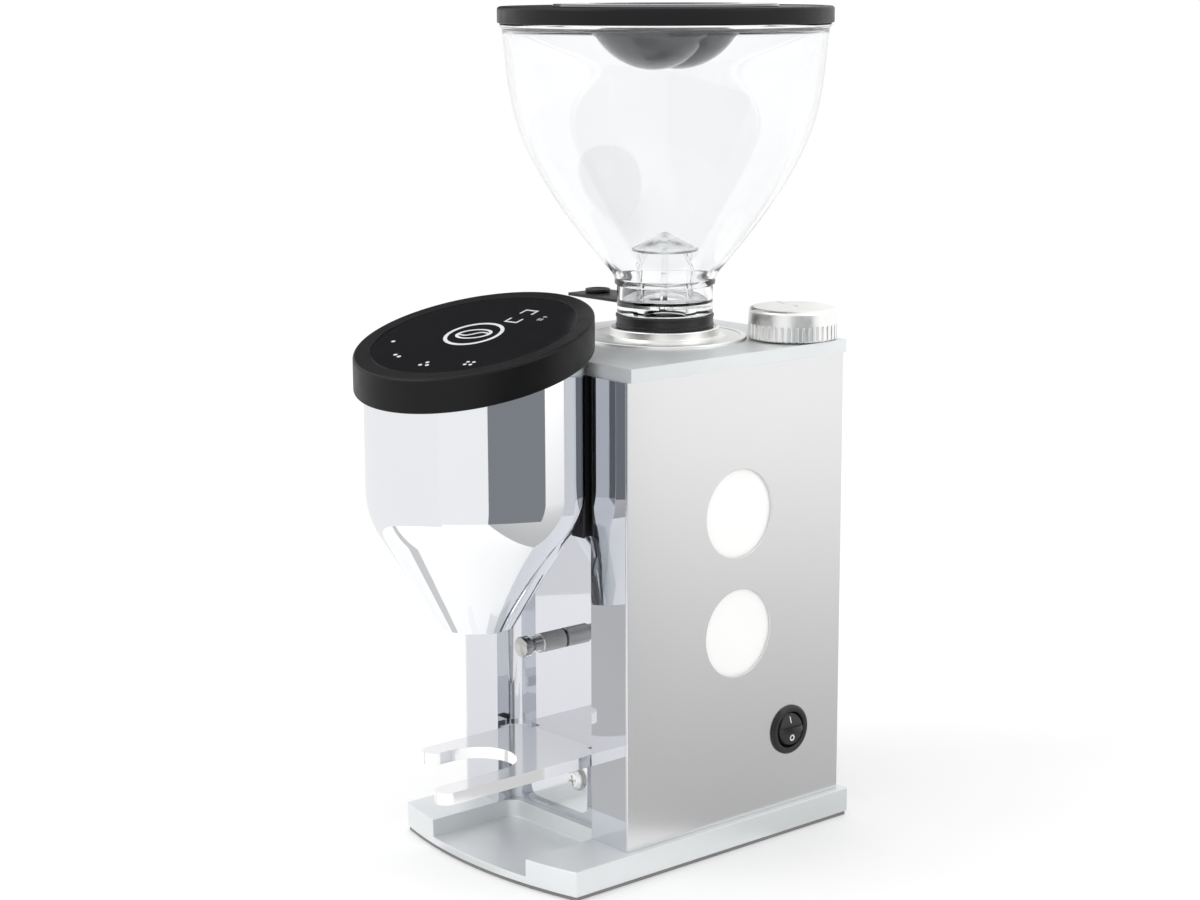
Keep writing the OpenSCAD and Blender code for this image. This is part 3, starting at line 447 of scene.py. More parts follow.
def dress(node, width, segments=2, finish=None):
    """The CAD node's own shape with rounded edges, as a visual piece."""
    mesh = rounded_edges(frame["nodes"][node].data, width, segments)
    slot = NODE_SLOT[node]
    add_piece(node + "_look", mesh, finish or slot, NODE_BODY[node], (node,))


# ---------------------------------------------------------------- places
base_high = box_mm("base_plate")[1]
case_high = box_mm("side_panel_right")[1]
cover_high = box_mm("cover_plate")[1]
hopper_high = box_mm("hopper")[1]
collar_low, collar_high = box_mm("collar_ring")
lid_low, lid_high = box_mm("lid_rim")
dish_low, dish_high = box_mm("lid_dish")
seal_low, seal_high = box_mm("lid_seal")
knob_low, knob_high = box_mm("adjust_knob")
glass_low, glass_high = box_mm("touch_glass")
cap_low, cap_high = box_mm("cap_ring")
flange_low, flange_high = box_mm("burr_flange")
gate_low, gate_high = box_mm("gate_slide")
pin_low, pin_high = box_mm("rest_pin")
bezel_low, bezel_high = box_mm("switch_bezel")

hopper_y = (collar_low.y + collar_high.y) / 2
HOPPER = (0, hopper_y)
SPOUT = (0, (cap_low.y + cap_high.y) / 2)
KNOB = ((knob_low.x + knob_high.x) / 2, (knob_low.y + knob_high.y) / 2)
neck_z = collar_high.z
rim_z = lid_low.z


# ---------------------------------------------------------------- base, case and cover
def make_case():
    """CAD nodes whose own shape is right, with their edges rounded."""
    dress("base_plate", 0.7, 3)
    dress("sole_pad", 0.3)
    dress("cover_plate", 0.6, 3)
    for panel in ("side_panel_right", "side_panel_left", "rear_panel"):
        dress(panel, 0.25)
    # the front panel takes the darker copy of the mirror steel, whose grey is painted shade
    dress("front_panel", 0.25, finish="shaded_column_steel")
    dress("fork", 0.7, 3, "fork_steel")
    dress("fork_washers", 0.15)
    dress("panel_screws", 0.2)
    dress("mains_inlet", 0.4)
    dress("gate_slide", 0.3)
    dress("spout_block", 0.4)
    dress("grounds_chute", 0.3)
    dress("switch_rocker", 0.35)


make_case()


def make_windows():
    """Pale discs behind the round windows of both side panels."""
    for side, node in ((1, "window_discs_right"), (-1, "window_discs_left")):
        low, high = box_mm(node)
        radius = (high.y - low.y) / 2
        thick = high.x - low.x
        turn = Matrix.Rotation(side * math.pi / 2, 4, "Y")
        discs = []
        for z in (low.z + radius, high.z - radius):
            inner_x = low.x if side > 0 else high.x
            at = Matrix.Translation((inner_x, (low.y + high.y) / 2, z)) @ turn
            profile = fillet([(0, 0), (radius, 0, 0.2), (radius, thick, 0.4), (0, thick)])
            discs.append(lathe("disc", profile, steps=96, matrix=at))
        add_piece(node + "_look", join(node, *discs), "window_disc", "case",
                  (node,))


make_windows()


# ---------------------------------------------------------------- hopper
BEAD = 0.8  # how far the rim's bead stands out of the bell
COLLAR_WALL = 0.6  # how far the collar stands out of the neck
WALL = 2.5  # the bell's glass
THROAT_R, GUARD_SEAT = 10.8, 6  # way down for the beans, and its floor above the collar
SPIGOT_R = 18  # stub of the hopper that stands in the collar
BELL = ((1.02, 0.536), (0.91, 0.687))  # inner knots of the bell's curve, as shares
bell_r = hopper_high.x - BEAD
neck_r = (collar_high.x - collar_low.x) / 2 - COLLAR_WALL
bell_z = neck_z + 18


def bell_point(t):
    """Point on the bell's outer curve, from 0 at the neck to 1 at the rim."""
    wide, tall = bell_r - neck_r, rim_z - bell_z
    knots = [Vector((neck_r, bell_z))]
    knots += [Vector((neck_r + a * wide, bell_z + b * tall)) for a, b in BELL]
    knots.append(Vector((bell_r, rim_z)))
    weights = ((1 - t) ** 3, 3 * (1 - t) ** 2 * t, 3 * (1 - t) * t * t, t ** 3)
    return sum((k * w for k, w in zip(knots, weights)), Vector((0, 0)))


def make_hopper():
    """Clear bell with a beaded rim, its neck and spigot, and the slot for the gate."""
    steps = 44
    outer = [bell_point(i / steps) for i in range(steps + 1)]
    inner = []
    for i in range(steps, -1, -1):
        ahead = outer[min(i + 1, steps)] - outer[max(i - 1, 0)]
        normal = Vector((-ahead.y, ahead.x)).normalized()
        point = outer[i] + normal * WALL
        inner.append(Vector((point.x, min(point.y, rim_z))))
    throat, bore, seat = THROAT_R, neck_r - WALL, neck_z + GUARD_SEAT
    spigot, spigot_bore, spigot_end = SPIGOT_R, 15.5, neck_z - 14
    shoulder = fillet([(spigot, neck_z), (neck_r, neck_z, 1.2), (neck_r, neck_z + 9)], closed=False)
    profile = [(throat, seat), (throat, neck_z), (spigot_bore, neck_z), (spigot_bore, spigot_end),
               (spigot, spigot_end), (spigot, neck_z), *shoulder[1:-1],
               (neck_r, bell_z - 3.4), (neck_r + 1.1, bell_z - 2.6), (neck_r + 1.3, bell_z - 1.2),
               (neck_r + 0.9, bell_z)]
    profile += [tuple(p) for p in outer[1:-1]]
    profile += [(bell_r, rim_z - 2.2), (bell_r + 0.7, rim_z - 1.6), (bell_r + BEAD, rim_z - 0.8),
                (bell_r + 0.3, rim_z), (bell_r - WALL + 0.3, rim_z), (bell_r - WALL, rim_z - 0.4)]
    profile += [tuple(p) for p in inner if p.x > bore and p.y < rim_z - 1.5]
    profile += [(bore, bell_z - 1), (bore, seat + 1.5), (bore - 1.5, seat)]
    shell = lathe("hopper", profile, HOPPER, 160)
    slot_half = 12.9
    slot = block((-neck_r - 6, hopper_y - slot_half, gate_low.z - 0.3),
                 (throat + 3, hopper_y + slot_half, seat + 0.01))
    shell = cut(shell, slot)
    add_piece("hopper_shell", shell, "clear_plastic", "case", ("hopper",),
              flat_faces=False)


def about_hopper(degrees):
    """Turn about the hopper's axis."""
    return Matrix.Translation((*HOPPER, 0)) @ Matrix.Rotation(math.radians(degrees), 4, "Z")


def make_guard():
    """Roof on four posts over the throat, with four bent fins."""
    seat = neck_z + GUARD_SEAT
    eave = bell_z + 14.5
    roof = lathe("roof", fillet([(0, eave + 8), (15.2, eave, 0.3), (16.9, eave, 0.4),
                                 (16.6, eave + 1.2, 0.4), (1.2, eave + 9.3, 0.8), (0, eave + 9.5)]),
                 HOPPER, 96)
    inner, outer, low = THROAT_R + 0.1, neck_r - 2.8, seat + 0.02
    ring = lathe("ring", fillet([(inner, low, 0.2), (outer, low, 0.2), (outer, seat + 2, 0.4),
                                 (inner, seat + 2, 0.4)]), HOPPER, 96)
    parts = [roof, ring]
    for i in range(4):
        outline = [(0, seat + 1.9), (1.9, seat + 1.9), (1.35, seat + 8), (1.1, eave + 1.8),
                   (0, eave + 1.8)]
        matrix = about_hopper(45 + 90 * i) @ Matrix.Translation((12.8, 0, 0))
        parts.append(lathe("post", outline, steps=20, matrix=matrix))
    upright = Matrix.Rotation(math.pi / 2, 4, "X")
    for i in range(4):
        outline = fillet([(13.6, eave + 0.2), (20.6, eave - 9, 0.8), (16.2, eave - 19, 1.5),
                          (17.2, seat + 2, 0.5), (15.9, seat + 2), (14.9, eave - 19, 1.5),
                          (18.9, eave - 9.2, 0.5), (12.9, eave + 0.2)])
        matrix = about_hopper(4 + 90 * i) @ upright
        parts.append(prism("fin", outline, -0.7, 0.7, 0.25, matrix=matrix))
    add_piece("guard_insert", join("guard", *parts), "frosted_clear", "case",
              ("hopper_guard",))


make_hopper()
make_guard()


# ---------------------------------------------------------------- lid
DISH_R = 38.7


def make_lid():
    """Rim ring with a shallow step on top, and the seal that hangs inside the bell."""
    rim_r, top = lid_high.x, lid_high.z
    skirt_r, step, under = bell_r - 5.5, top - 0.35, rim_z + 3
    profile = fillet([
        (DISH_R + 0.5, top - 1.5), (DISH_R + 0.5, under, 0.5), (DISH_R + 2.5, under, 0.5),
        (DISH_R + 2.5, top - 3), (skirt_r, top - 3), (skirt_r, rim_z, 0.4), (rim_r, rim_z, 0.7),
        (rim_r, top, 1.6), (rim_r - 5, top, 0.4), (rim_r - 5.6, step, 0.2),
        (DISH_R + 4.2, step, 0.2), (DISH_R + 3.2, step), (DISH_R + 3.2, top - 1.5)])
    add_piece("lid_cover", lathe("lid", profile, HOPPER, 192), "cap_black", "lid",
              ("lid_rim",))
    seal = fillet([(skirt_r, seal_low.z, 0.4), (seal_high.x, seal_low.z, 0.6),
                   (seal_high.x, seal_high.z), (skirt_r, seal_high.z)])
    add_piece("lid_seal_look", lathe("seal", seal, HOPPER, 128), "clear_plastic", "lid",
              ("lid_seal",))


def make_dish():
    """Two bowls side by side, parted by a cleft under the grip web."""
    dish_r, top = DISH_R, lid_high.z
    depth = top - dish_low.z
    wall, rings, steps = 1.8, 26, 144

    def floor_depth(x, y):
        """How far the floor lies under the lid's top: one bowl, with two lobes in it."""
        lobe_y = 13.5
        across = 0.0
        for side in (-1, 1):
            u = (x / (dish_r * 0.97)) ** 2 + ((y - side * lobe_y) / (dish_r - lobe_y)) ** 2
            across = max(across, 1 - u)
        r2 = (x * x + y * y) / (dish_r * dish_r)
        bowl = max(0.0, 1 - r2) ** 0.62
        lobes = max(0.0, across) ** 0.5
        return depth * (0.55 * bowl + 0.45 * lobes * min(1.0, max(0.0, 1 - r2) * 6))

    points, faces = [], []

    def sheet(inset):
        first = len(points)
        points.append((0, hopper_y, top - floor_depth(0, 0)))
        for i in range(1, rings + 1):
            r = (dish_r - inset) * (i / rings) ** 0.85
            for k in range(steps):
                x, y = r * math.cos(TAU * k / steps), r * math.sin(TAU * k / steps)
                points.append((x, hopper_y + y, top - floor_depth(x, y)))
        if inset:
            for j in range(first, len(points)):
                x, y, z = points[j]
                points[j] = (x, y, min(top - 0.6, z + wall))
        rows = [[first] * steps]
        rows += [[first + 1 + i * steps + k for k in range(steps)] for i in range(rings)]
        for low, high in zip(rows, rows[1:]):
            for k in range(steps):
                face = [low[k], high[k], high[(k + 1) % steps], low[(k + 1) % steps]]
                face = [v for j, v in enumerate(face) if v not in face[:j]]
                faces.append(face if inset else face[::-1])
        return rows[-1]

    outside = sheet(0)
    inside = sheet(wall)
    for k in range(steps):
        faces.append([outside[k], outside[(k + 1) % steps], inside[(k + 1) % steps], inside[k]])
    bowl = mesh_of("dish", points, faces)
    fix_normals(bowl)
    flange_r, flange_top = dish_high.x, dish_high.z
    lip = lathe("lip", fillet([(dish_r - 1, top - 1.5, 0.2), (dish_r + 3, top - 1.5, 0.3),
                               (dish_r + 3, top), (flange_r, top),
                               (flange_r - 0.8, flange_top, 0.4), (dish_r - 1, flange_top, 0.5)]),
                HOPPER, steps)
    half = dish_r - 8
    web = prism("web", fillet([(-half, top - 20), (half, top - 20), (half, top - 2, 5),
                               (-half, top - 2, 5)]), -1.5, 1.5, 0.6,
                matrix=about_hopper(0) @ Matrix.Rotation(math.pi / 2, 4, "X"))
    add_piece("lid_scoop", join("scoop", bowl, web), "smoked_plastic", "lid",
              ("lid_dish",), flat_faces=False)
    add_piece("lid_flange", lip, "pale_smoke", "lid")


make_lid()
make_dish()


# ---------------------------------------------------------------- collar, flange, knob and gate
def make_collar():
    """Ring with a shallow band round its middle."""
    low, high = collar_low.z, collar_high.z
    outer = neck_r + COLLAR_WALL
    band = outer - 0.35
    profile = fillet([(SPIGOT_R, low), (outer, low, 0.4), (outer, low + 1.5), (band, low + 1.8),
                      (band, high - 1.6), (outer, high - 1.3), (outer, high, 0.5),
                      (SPIGOT_R, high)])
    add_piece("collar_look", lathe("collar", profile, HOPPER, 128), "black_plastic", "case",
              ("collar_ring",))


def make_flange():
    """Machined plate on the cover, with a raised ring round the collar."""
    under, low, top = flange_low.z, cover_high.z, flange_high.z
    outer = (flange_high.y - flange_low.y) / 2
    ring, bore = 27.8, 19.4
    profile = fillet([
        (bore, under), (ring + 2, under), (ring + 2, low), (outer, low, 0.1),
        (outer, low + 1.7, 0.6), (outer - 3.2, low + 1.7, 0.3), (outer - 3.6, low + 1.45, 0.1),
        (ring + 3.2, low + 1.45, 0.3), (ring, low + 2.0, 0.8), (ring, top, 0.9),
        (ring - 1.6, top, 0.2), (ring - 2.0, top - 0.3, 0.1), (bore, top - 0.3)], 4)
    add_piece("flange_look", lathe("flange", profile, HOPPER, 160), "machined_aluminium", "case",
              ("burr_flange",))


def make_knob():
    """Knob with flutes round its lower half, and a line cut in its top."""
    radius = (knob_high.x - knob_low.x) / 2
    low, top = knob_low.z + 0.4, knob_high.z
    flutes, flute_depth = 40, 0.75
    flute_top = low + (top - low) * 0.50

    def wave(angle, r, z):
        if r < radius - 1.2 or z > flute_top:
            return 0
        phase = (angle * flutes / TAU) % 1
        notch = max(0.0, 1 - abs(phase - 0.5) / 0.17)
        fade = min(1.0, (flute_top - z) / 0.9)
        return -flute_depth * math.sqrt(notch) * fade

    heights = [low + 0.7, low + 2, low + 3.5, flute_top - 1.2, flute_top - 0.9, flute_top - 0.45,
               flute_top - 0.2, flute_top + 0.01]
    side = [(radius - 0.10 * (z - low) / 6, z) for z in heights]
    profile = [(0, knob_low.z), (12, knob_low.z), (12, low), (radius - 0.7, low), *side,
               *fillet([(radius - 0.15, flute_top + 0.3), (radius - 0.5, top, 2.4), (2.6, top, 0.3),
                        (2.2, top - 0.25, 0.1), (0, top - 0.25)], 8, closed=False)]
    mesh = lathe("knob", profile, KNOB, flutes * 12, wave)
    mark = prism("mark", fillet(box_outline((-0.45, radius * 0.45), (0.45, radius - 2.8))),
                 top - 0.3, top + 0.001, 0.02,
                 matrix=Matrix.Translation((*KNOB, 0)) @ Matrix.Rotation(math.radians(70), 4, "Z"))
    add_piece("knob_look", cut(mesh, mark), "machined_aluminium", "knob",
              ("adjust_knob",))


def make_grip():
    """Round button on the gate's tab, dished on top."""
    low, high = box_mm("gate_grip")
    at = ((low.x + high.x) / 2, hopper_y)
    foot = gate_high.z + 0.005
    radius = (high.x - low.x) / 2
    profile = fillet([(0, low.z), (2, low.z), (2, foot), (radius - 0.6, foot, 0.2),
                      (radius, foot + 0.6, 0.3), (radius, high.z, 0.6), (radius - 1.4, high.z, 0.4),
                      (radius - 2.0, high.z - 0.5, 0.3), (0, high.z - 0.5)])
    add_piece("grip_look", lathe("grip", profile, at, 64), "black_plastic", "gate",
              ("gate_grip",))


make_collar()
make_flange()
make_knob()
make_grip()


# ---------------------------------------------------------------- spout and cap
TILT, TURN = math.radians(13.6), math.radians(9.4)  # the cap's slope, and which way it faces
SPOUT_R, OUTLET_R, BLEND_R, SPOUT_WALL = 53, 18, 40, 1.5
CONE = math.radians(31.6)  # half angle of the cone
CAP_DEEP, CAP_WEB, CAP_SEAT, GLASS_DEEP, GLASS_SUNK = 15.8, 4, 10, 2, 0.2  # down from the face
PRINT_LOW, PRINT_HIGH = -0.02, 0.1  # printed marks, from the glass
cap_z = cover_high.z + 14.2
FACE = (Matrix.Translation((0, SPOUT[1], cap_z)) @ Matrix.Rotation(TURN, 4, "Z")
        @ Matrix.Rotation(TILT, 4, "X"))


def face_height(x, y):
    """Height of the cap's tilted face over a point measured from the spout's axis."""
    return cap_z + (y * math.cos(TURN) - x * math.sin(TURN)) * math.tan(TILT)


def make_spout():
    """Round shell that blends into a cone, cut off along the cap and behind."""
    cone_z = base_high.z + 109.3
    corner = cone_z + (SPOUT_R - OUTLET_R) / math.tan(CONE)
    blend = BLEND_R * math.tan(CONE / 2)
    steps = 14
    top = cap_high.z + 20

    def outline(inset):
        arc = [(SPOUT_R - inset - BLEND_R * (1 - math.cos(i * CONE / steps)),
                corner + blend - BLEND_R * math.sin(i * CONE / steps)) for i in range(steps + 1)]
        return [(SPOUT_R - inset, top), (SPOUT_R - inset, corner + blend + 12), *arc]

    lip = [(OUTLET_R + 0.5, cone_z + 0.9), (OUTLET_R + 0.2, cone_z + 0.3), (OUTLET_R - 0.3, cone_z),
           (OUTLET_R - SPOUT_WALL + 0.3, cone_z), (OUTLET_R - SPOUT_WALL, cone_z + 0.5)]
    profile = outline(0) + lip + outline(SPOUT_WALL)[::-1]
    shell = lathe("shell", profile, SPOUT, 224)
    far = 90
    above = prism("slab", box_outline((-far, -far), (far, far)), -CAP_SEAT, far, SHARP, steps=1,
                  matrix=FACE)
    insert = box_mm("spout_block")[0]
    rear = block((-far, insert.y, insert.z), (far, far, 400))
    add_piece("spout_look", cut(shell, above, rear), "mirror_steel", "case",
              ("spout_shell",), flat_faces=False)


def make_cap():
    """Tilted ring on the spout, and the touch glass in it."""
    outer = (cap_high.x - cap_low.x) / 2
    pocket = (glass_high.x - glass_low.x) / 2 + 0.1
    down = 1 / math.cos(TILT)
    deep, web, seat = CAP_DEEP * down, CAP_WEB * down, CAP_SEAT * down
    bed, sunk = -GLASS_DEEP * down, -GLASS_SUNK * down
    profile = fillet([
        (0, bed), (pocket, bed), (pocket, 0, 0.25), (outer, 0, 1.3), (outer, -deep, 0.9),
        (SPOUT_R + 0.1, -deep, 0.3), (SPOUT_R + 0.1, -seat), (SPOUT_R - 3, -seat),
        (SPOUT_R - 3, -web), (0, -web)])
    ring = lathe("cap", profile, SPOUT, 192, shift=face_height)
    add_piece("cap_look", ring, "cap_black", "case", ("cap_ring",))
    disc = fillet([(0, bed + 0.01), (pocket - 0.1, bed + 0.01, 0.2), (pocket - 0.1, sunk, 0.5),
                   (0, sunk)])
    glass = lathe("glass", disc, SPOUT, 160, shift=face_height)
    add_piece("glass_look", glass, "black_glass", "case", ("touch_glass",))


def make_marks():
    """Generic touch marks: doses by dots, a bean in the middle and a readout."""
    at = FACE @ Matrix.Translation((0, 0, -GLASS_SUNK))
    low, high = PRINT_LOW, PRINT_HIGH
    parts = []

    def spot(x, y, turn=0.0):
        return at @ Matrix.Translation((x, y, 0)) @ Matrix.Rotation(turn, 4, "Z")

    def dot(x, y, radius=1.05):
        outline = fillet([(0, low), (radius, low), (radius, high, 0.05), (0, high)], 2)
        parts.append(lathe("dot", outline, steps=20, matrix=at @ Matrix.Translation((x, y, 0))))

    def dots(x, y, spread, radius, angles):
        for angle in angles:
            turn = math.radians(angle)
            dot(x + spread * math.cos(turn), y + spread * math.sin(turn), radius)

    def hoop(x, y, radius, width, squash=1.0, turn=0.0):
        outline = fillet([(radius - width, low), (radius, low), (radius, high, 0.05),
                          (radius - width, high, 0.05)], 2)
        shape = spot(x, y, turn) @ Matrix.Diagonal((1, squash, 1, 1))
        parts.append(lathe("hoop", outline, steps=64, matrix=shape))

    def bar(x, y, wide, tall, turn=0.0):
        outline = box_outline((-wide / 2, -tall / 2), (wide / 2, tall / 2))
        parts.append(prism("bar", outline, low, high, 0.03, matrix=spot(x, y, turn), steps=1))

    dot(-34.8, -19.7)
    dot(-20.0, -33.9)
    dot(-16.4, -35.3)
    dots(4.4, -39.6, 2.2, 1.0, (100, 220, 340))
    dots(26.0, -32.5, 2.2, 0.9, (55, 145, 235, 325))
    bean, groove = math.radians(22), 4
    hoop(0, 0, 14.8, 1.9)
    hoop(0, 0, 9.4, 1.8, 0.66, bean)
    for k in range(-groove, groove + 1):
        phase = k / groove * math.pi
        along, sway = k * 1.75, 1.3 * math.sin(phase)
        c, s = math.cos(bean), math.sin(bean)
        bar(along * c - sway * s, along * s + sway * c, 2.2, 1.2, bean + 0.62 * math.cos(phase))
    readout_x, readout_y = 7.5, 26.6
    for end in (-1, 1):
        bar(readout_x, readout_y + end * 8.0, 8.2, 1.0)
        for side in (-1, 1):
            bar(readout_x + side * 3.6, readout_y + end * 5.6, 1.0, 4.8)
    bar(19.6, 25.4, 0.6, 2.6)
    bar(21.4, 25.4, 0.6, 2.6)
    bar(20.5, 29.0, 2.2, 0.6)
    add_piece("cap_marks", join("marks", *parts), "print_white", "case", flat_faces=False)


make_spout()
make_cap()
make_marks()


# ---------------------------------------------------------------- fork screws, rest pin and switch
def make_fork_screws():
    """Two pan heads with a cross recess, and the start of their shanks."""
    low, high = box_mm("fork_screws")
    radius, cross_half, slot_half = 5.0, 2.7, 0.55
    arm_outline = box_outline((-cross_half, -slot_half), (cross_half, slot_half))
    middle_z = (low.z + high.z) / 2
    head_y = box_mm("fork_washers")[0].y
    parts = []
    for x in (low.x + radius, high.x - radius):
        at = Matrix.Translation((x, head_y, middle_z)) @ Matrix.Rotation(math.pi / 2, 4, "X")
        body = lathe("head", fillet([(0, -10), (2, -10), (2, 0), (radius, 0, 0.2),
                                     (radius, 1.4, 0.5), (3.4, 2.9, 1.2), (0, 3.2)]),
                     steps=56, matrix=at)
        turn = at @ Matrix.Rotation(math.radians(12), 4, "Z")
        cross = []
        for angle in (0, 90):
            arm = turn @ Matrix.Rotation(math.radians(angle), 4, "Z")
            cross.append(prism("arm", arm_outline, 1.5, 5, SHARP, matrix=arm, steps=1))
        parts.append(cut(body, *cross))
    add_piece("fork_screws_look", join("fork_screws", *parts), "machined_aluminium", "case",
              ("fork_screws",))


def make_pin():
    """Knurled sleeve against the recess, then a waist and a head."""
    shank = 8
    wall_y = pin_high.y - shank
    reach = wall_y - pin_low.y
    z = (pin_low.z + pin_high.z) / 2
    at = Matrix.Translation((0, wall_y, z)) @ Matrix.Rotation(math.pi / 2, 4, "X")
    sleeve, end = 4.9, 15.6
    knurl_from, knurl_to, row = 1.2, end - 0.6, 0.33

    def knurl(angle, r, height):
        if r < sleeve - 0.2 or not knurl_from < height < knurl_to:
            return 0
        turns, slant, depth = 26, 2.6, 0.16
        first = math.cos(turns * angle + height * slant)
        second = math.cos(turns * angle - height * slant)
        return -depth * (1 - max(first, second))

    rows = int((knurl_to - knurl_from) / row)
    fine = [(sleeve, knurl_from + row * k) for k in range(1, rows + 1)]
    profile = [(0, -shank), (4, -shank), (4, 0.6), (sleeve - 0.4, 0.6), (sleeve, 1.0), *fine,
               (sleeve, end - 0.5),
               (sleeve - 0.5, end), (4.1, end), (4.0, end + 0.5), (4.0, reach - 7.2),
               (3.2, reach - 6.8), (3.2, reach - 5.3), (4.6, reach - 5), (5.2, reach - 4.4),
               (5.2, reach - 0.9), (4.9, reach - 0.3), (4.2, reach), (0, reach)]
    add_piece("pin_look", lathe("pin", profile, steps=208, wave=knurl, matrix=at), "screw_steel",
              "rest_pin_body", ("rest_pin",))


def make_switch():
    """Round bezel, with a closed well behind the rocker."""
    y = (bezel_low.y + bezel_high.y) / 2
    z = (bezel_low.z + bezel_high.z) / 2
    face = case_high.x
    at = Matrix.Translation((face, y, z)) @ Matrix.Rotation(math.pi / 2, 4, "Y")
    radius = (bezel_high.z - bezel_low.z) / 2
    hole, deep, back = 9.3, -12.5, -17
    well = hole + 1.6
    profile = fillet([
        (hole, deep), (hole, 1.3, 0.2), (hole + 0.5, 1.8, 0.3), (radius - 1.2, 1.9, 0.6),
        (radius, 0.9, 0.5), (radius, 0, 0.1), (well, 0), (well, back, 0.3), (0, back), (0, deep)])
    add_piece("bezel_look", lathe("bezel", profile, steps=128, matrix=at), "black_plastic", "case",
              ("switch_bezel",))
    make_switch_marks(y, z)


def make_switch_marks(y, z):
    """A bar and a ring on the rocker's two faces."""
    pivot_x = case_high.x - 2.5
    rest_angle, slope = -8, 9
    low, high = -0.05, 0.06
    rest = Matrix.Translation((pivot_x, y, z)) @ Matrix.Rotation(math.radians(rest_angle), 4, "Y")
    parts = []
    for side in (1, -1):
        tilt = Matrix.Rotation(math.radians(-slope * side), 4, "Y")
        face = (rest @ tilt @ Matrix.Translation((5.2, 0, 3.9 * side))
                @ Matrix.Rotation(math.pi / 2, 4, "Y"))
        if side > 0:
            outline = box_outline((-1.7, -0.3), (1.7, 0.3))
            parts.append(prism("on", outline, low, high, 0.03, matrix=face, steps=1))
        else:
            outline = fillet(box_outline((0.95, low), (1.65, high)))
            parts.append(lathe("off", outline, steps=40, matrix=face))
    add_piece("rocker_marks", join("rocker_marks", *parts), "print_white", "rocker",
              flat_faces=False)


make_fork_screws()
make_pin()
make_switch()


# ---------------------------------------------------------------- CAD nodes that stay
def paint_nodes():
    """Material of its slot for each CAD node, so those that stay in view are painted."""
    for name, node in frame["nodes"].items():
        node.data.materials.clear()
        node.data.materials.append(MATERIALS[NODE_SLOT[name]])


paint_nodes()


# ---------------------------------------------------------------- stage
def stage_object(name, mesh, finish):
    """Floor or card, which belongs to the studio."""
    mesh.materials.append(finish)
    made = place_object(name, mesh)
    return made


def glow_paint(name, colour):
    """Paint that only glows, and its shader."""
    paint = bpy.data.materials.new(name)
    paint.use_nodes = True
    shader = paint.node_tree.nodes["Principled BSDF"]
    shader.inputs["Base Color"].default_value = (0, 0, 0, 1)
    shader.inputs["Roughness"].default_value = 1
    shader.inputs["Specular IOR Level"].default_value = 0
    shader.inputs["Emission Color"].default_value = (*colour, 1)
    shader.inputs["Emission Strength"].default_value = 1
    return paint, shader


def reflected_only(made):
    """Hides a card from all but reflections."""
    made.visible_camera = made.visible_diffuse = made.visible_shadow = False
    made.visible_transmission = False


def card(name, first, last, distance, low, high, colour):
    """Upright card, bent round the spout from one azimuth to another, that only reflections see."""
    steps = 24
    points = []
    for k in range(steps + 1):
        turn = math.radians(first + (last - first) * k / steps)
        x, y = math.sin(turn) * distance, SPOUT[1] - math.cos(turn) * distance
        points += [(x, y, low), (x, y, high)]
    faces = [[2 * k, 2 * k + 2, 2 * k + 3, 2 * k + 1] for k in range(steps)]
    paint, _ = glow_paint(name, colour)
    reflected_only(stage_object(name, mesh_of(name, points, faces), paint))


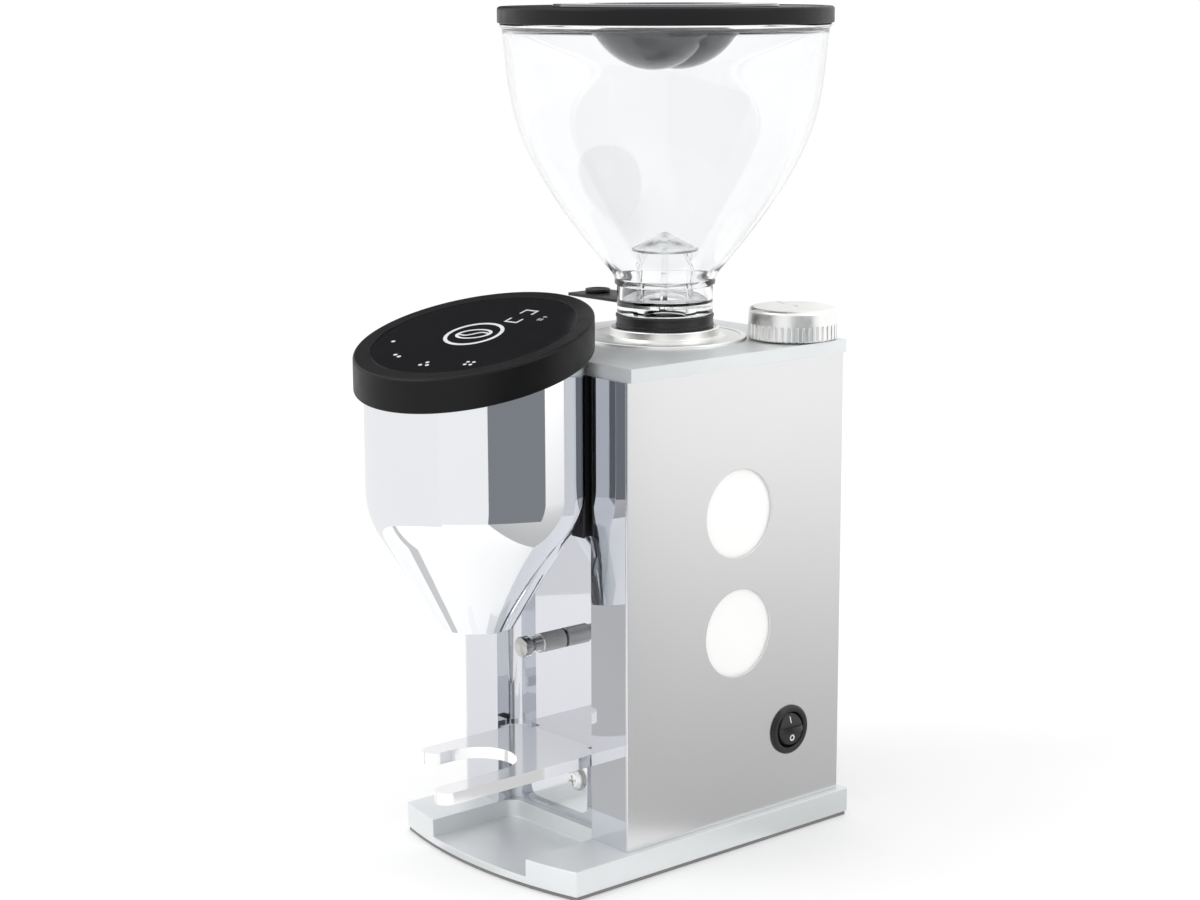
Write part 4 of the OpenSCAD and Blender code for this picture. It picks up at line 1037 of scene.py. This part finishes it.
def floor_card(name, start, azimuth, near, far, width, first, last):
    """Strip just over the floor that only reflections see, glowing from first to last."""
    outline = box_outline((near, -width / 2), (far, width / 2))
    strip = mesh_of(name, [(*p, 0) for p in outline], [[0, 1, 2, 3]])
    paint, shader = glow_paint(name, (1, 1, 1))
    tree = paint.node_tree
    split = tree.nodes.new("ShaderNodeSeparateXYZ")
    tree.links.new(tree.nodes.new("ShaderNodeTexCoord").outputs["Object"], split.inputs["Vector"])
    glow = map_range(tree, split.outputs["X"], first, last, near * MM, far * MM)
    tree.links.new(glow, shader.inputs["Emission Strength"])
    made = stage_object(name, strip, paint)
    reflected_only(made)
    turn = Matrix.Rotation(math.radians(azimuth - 90), 4, "Z")
    made.matrix_world = Matrix.Translation(Vector((*start, 0.5)) * MM) @ turn


def area_light(name, place, size, power):
    """Light at a place in metres, aimed at the middle of the grinder."""
    aim = Vector((0, -0.02, 0.2))
    data = bpy.data.lights.new(name, "AREA")
    data.shape = "RECTANGLE"
    data.size, data.size_y = size
    data.energy = power
    made = bpy.data.objects.new(name, data)
    bpy.context.scene.collection.objects.link(made)
    made.location = place
    made.rotation_mode = "QUATERNION"
    made.rotation_quaternion = (aim - Vector(place)).to_track_quat("-Z", "Y")


WORLD_GLOW, FLOOR_TONE, FLOOR_HALF = 1.04, 0.97, 8000


def make_stage():
    """Pale floor and world, two soft lights, and the cards that give the metal its tones."""
    outline = box_outline((-FLOOR_HALF, -FLOOR_HALF), (FLOOR_HALF, FLOOR_HALF))
    floor = mesh_of("floor", [(*p, 0) for p in outline], [[0, 1, 2, 3]])
    pale = material("pale_floor", (FLOOR_TONE,) * 3, 0.6, 0.0, 0.01, 0.05, smudge=3)
    stage_object("floor", floor, pale)
    world = bpy.data.worlds.new("studio")
    world.use_nodes = True
    world.node_tree.nodes["Background"].inputs["Color"].default_value = (1, 1, 1, 1)
    world.node_tree.nodes["Background"].inputs["Strength"].default_value = WORLD_GLOW
    bpy.context.scene.world = world
    area_light("key", (-0.6, -1.6, 1.7), (1.2, 1.0), 9)
    area_light("fill", (1.9, 0.6, 1.3), (1.0, 1.2), 5)
    ring, near, height = 370, 240, 300
    card("dark_card", 64, 124, ring, 0, height, srgb(127, 131, 136))
    card("pale_front", 8, 64, ring, 0, height, srgb(245, 246, 247))
    card("pale_left", -178, 18, near, 60, height, srgb(244, 244, 245))
    card("canopy", 220, 257, 900, 460, 1050, srgb(84, 84, 88))
    floor_card("side_floor", (50, 20), 131, 30, 1400, 1500, 0.52, 1.20)
    floor_card("column_floor", (50, -57.6), -49, 60, 600, 40, 0.66, 0.62)
    settings = bpy.context.scene.view_settings
    settings.view_transform = "Standard"
    settings.look = "None"


make_stage()
